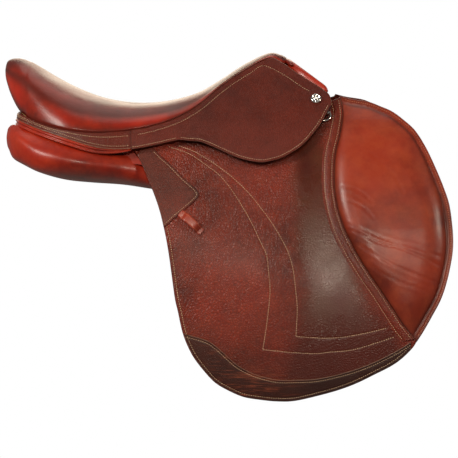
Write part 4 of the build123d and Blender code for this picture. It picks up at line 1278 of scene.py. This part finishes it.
finish = {
    "tree": wood, "head_plate": steel, "gullet_plate": steel, "tree_rivets": steel, "seat_webbing": webbing,
    "catch_pins": steel, "bar_rivets": steel, "spring": steel, "flap_head": flap_leather,
    "dee_tab": strap_leather, "dee": chrome, "stirrup_bar": steel,
    "bar_catch": steel, "sweat_flap": strap_leather, "billet_web": webbing,
    "billet_front": strap_leather, "billet_middle": strap_leather, "billet_rear": strap_leather,
}
for name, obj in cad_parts.items():
    material = finish.get(name.removeprefix("right_").removeprefix("left_")) or finish.get(name)
    if material:
        obj.data.materials.clear()
        obj.data.materials.append(material)

# Floor, light and camera

def white_to_camera(owner, lit, shown, output):
    """Shows plain white to the camera and gives everything else the lit node."""
    owner.use_nodes = True
    nodes, links = owner.node_tree.nodes, owner.node_tree.links
    nodes.clear()
    path = nodes.new("ShaderNodeLightPath")
    shaders = []
    for kind, colour, strength in (lit, shown):
        node = nodes.new(kind)
        node.inputs["Color"].default_value = colour
        if strength is not None:
            node.inputs["Strength"].default_value = strength
        shaders.append(node)
    mixer = nodes.new("ShaderNodeMixShader")
    links.new(path.outputs["Is Camera Ray"], mixer.inputs[0])
    links.new(shaders[0].outputs[0], mixer.inputs[1])
    links.new(shaders[1].outputs[0], mixer.inputs[2])
    links.new(mixer.outputs[0], nodes.new(output).inputs[0])


white = bpy.data.materials.new("studio_white")
white_to_camera(
    white, ("ShaderNodeBsdfDiffuse", (0.7, 0.69, 0.67, 1), None),
    ("ShaderNodeEmission", (1, 1, 1, 1), None), "ShaderNodeOutputMaterial",
)
FLOOR_HALF, FLOOR_Z = 9, -3.2
corners = [(-1, -1), (1, -1), (1, 1), (-1, 1)]
mesh = bpy.data.meshes.new("floor")
mesh.from_pydata([(x * FLOOR_HALF, y * FLOOR_HALF, FLOOR_Z) for x, y in corners], [], [(0, 1, 2, 3)])
mesh.materials.append(white)
floor = bpy.data.objects.new("floor", mesh)
bpy.context.scene.collection.objects.link(floor)

world = bpy.data.worlds.new("studio")
bpy.context.scene.world = world
white_to_camera(
    world, ("ShaderNodeBackground", (1.0, 0.96, 0.9, 1), 0.18),
    ("ShaderNodeBackground", (1, 1, 1, 1), 1.0), "ShaderNodeOutputWorld",
)

# Azimuth runs from -Y toward +X; reach and size in metres, power in watts
target = Vector((0.0, 0.0, -0.0564))
for name, azimuth, elevation, reach, size, power, tint in (
    ("key", -50, 30, 2.6, 0.8, 46.0, (1.0, 0.94, 0.85)),
    ("front", -3, 22, 3.0, 0.4, 26.0, (1.0, 0.84, 0.68)),
    ("right_side", 58, 26, 2.4, 0.5, 17.0, (1.0, 0.86, 0.7)),
    ("top", 180, 72, 2.2, 1.8, 10.0, (1.0, 0.94, 0.85)),
    ("rear", 180, 18, 3.0, 2.4, 34.0, (1.0, 0.85, 0.66)),
):
    light = bpy.data.lights.new(name, "AREA")
    light.shape = "DISK"
    light.size = size
    light.energy = power
    light.color = tint
    lamp = bpy.data.objects.new(name, light)
    a, e = math.radians(azimuth), math.radians(elevation)
    away = Vector((math.sin(a) * math.cos(e), -math.cos(a) * math.cos(e), math.sin(e)))
    lamp.location = target + away * reach
    lamp.rotation_euler = (-away).to_track_quat("-Z", "Y").to_euler()
    bpy.context.scene.collection.objects.link(lamp)

CAMERA_REACH, CAMERA_TILT = 3.0, 5.0
PHOTO_PIXELS, MM_PER_PIXEL = 458, 1.445
SENSOR = 36.0
camera = bpy.data.cameras.new("camera")
camera.sensor_width = SENSOR
camera.lens = SENSOR * CAMERA_REACH / MM / (PHOTO_PIXELS * MM_PER_PIXEL)
camera.clip_start, camera.clip_end = 0.05, 60.0
view = bpy.data.objects.new("camera", camera)
tilt = math.radians(CAMERA_TILT)
away = Vector((0, -math.cos(tilt), math.sin(tilt)))
view.location = target + away * CAMERA_REACH
view.rotation_euler = (-away).to_track_quat("-Z", "Y").to_euler()
bpy.context.scene.collection.objects.link(view)
bpy.context.scene.camera = view
bpy.context.scene.view_settings.view_transform = "Standard"

bpy.context.view_layer.update()
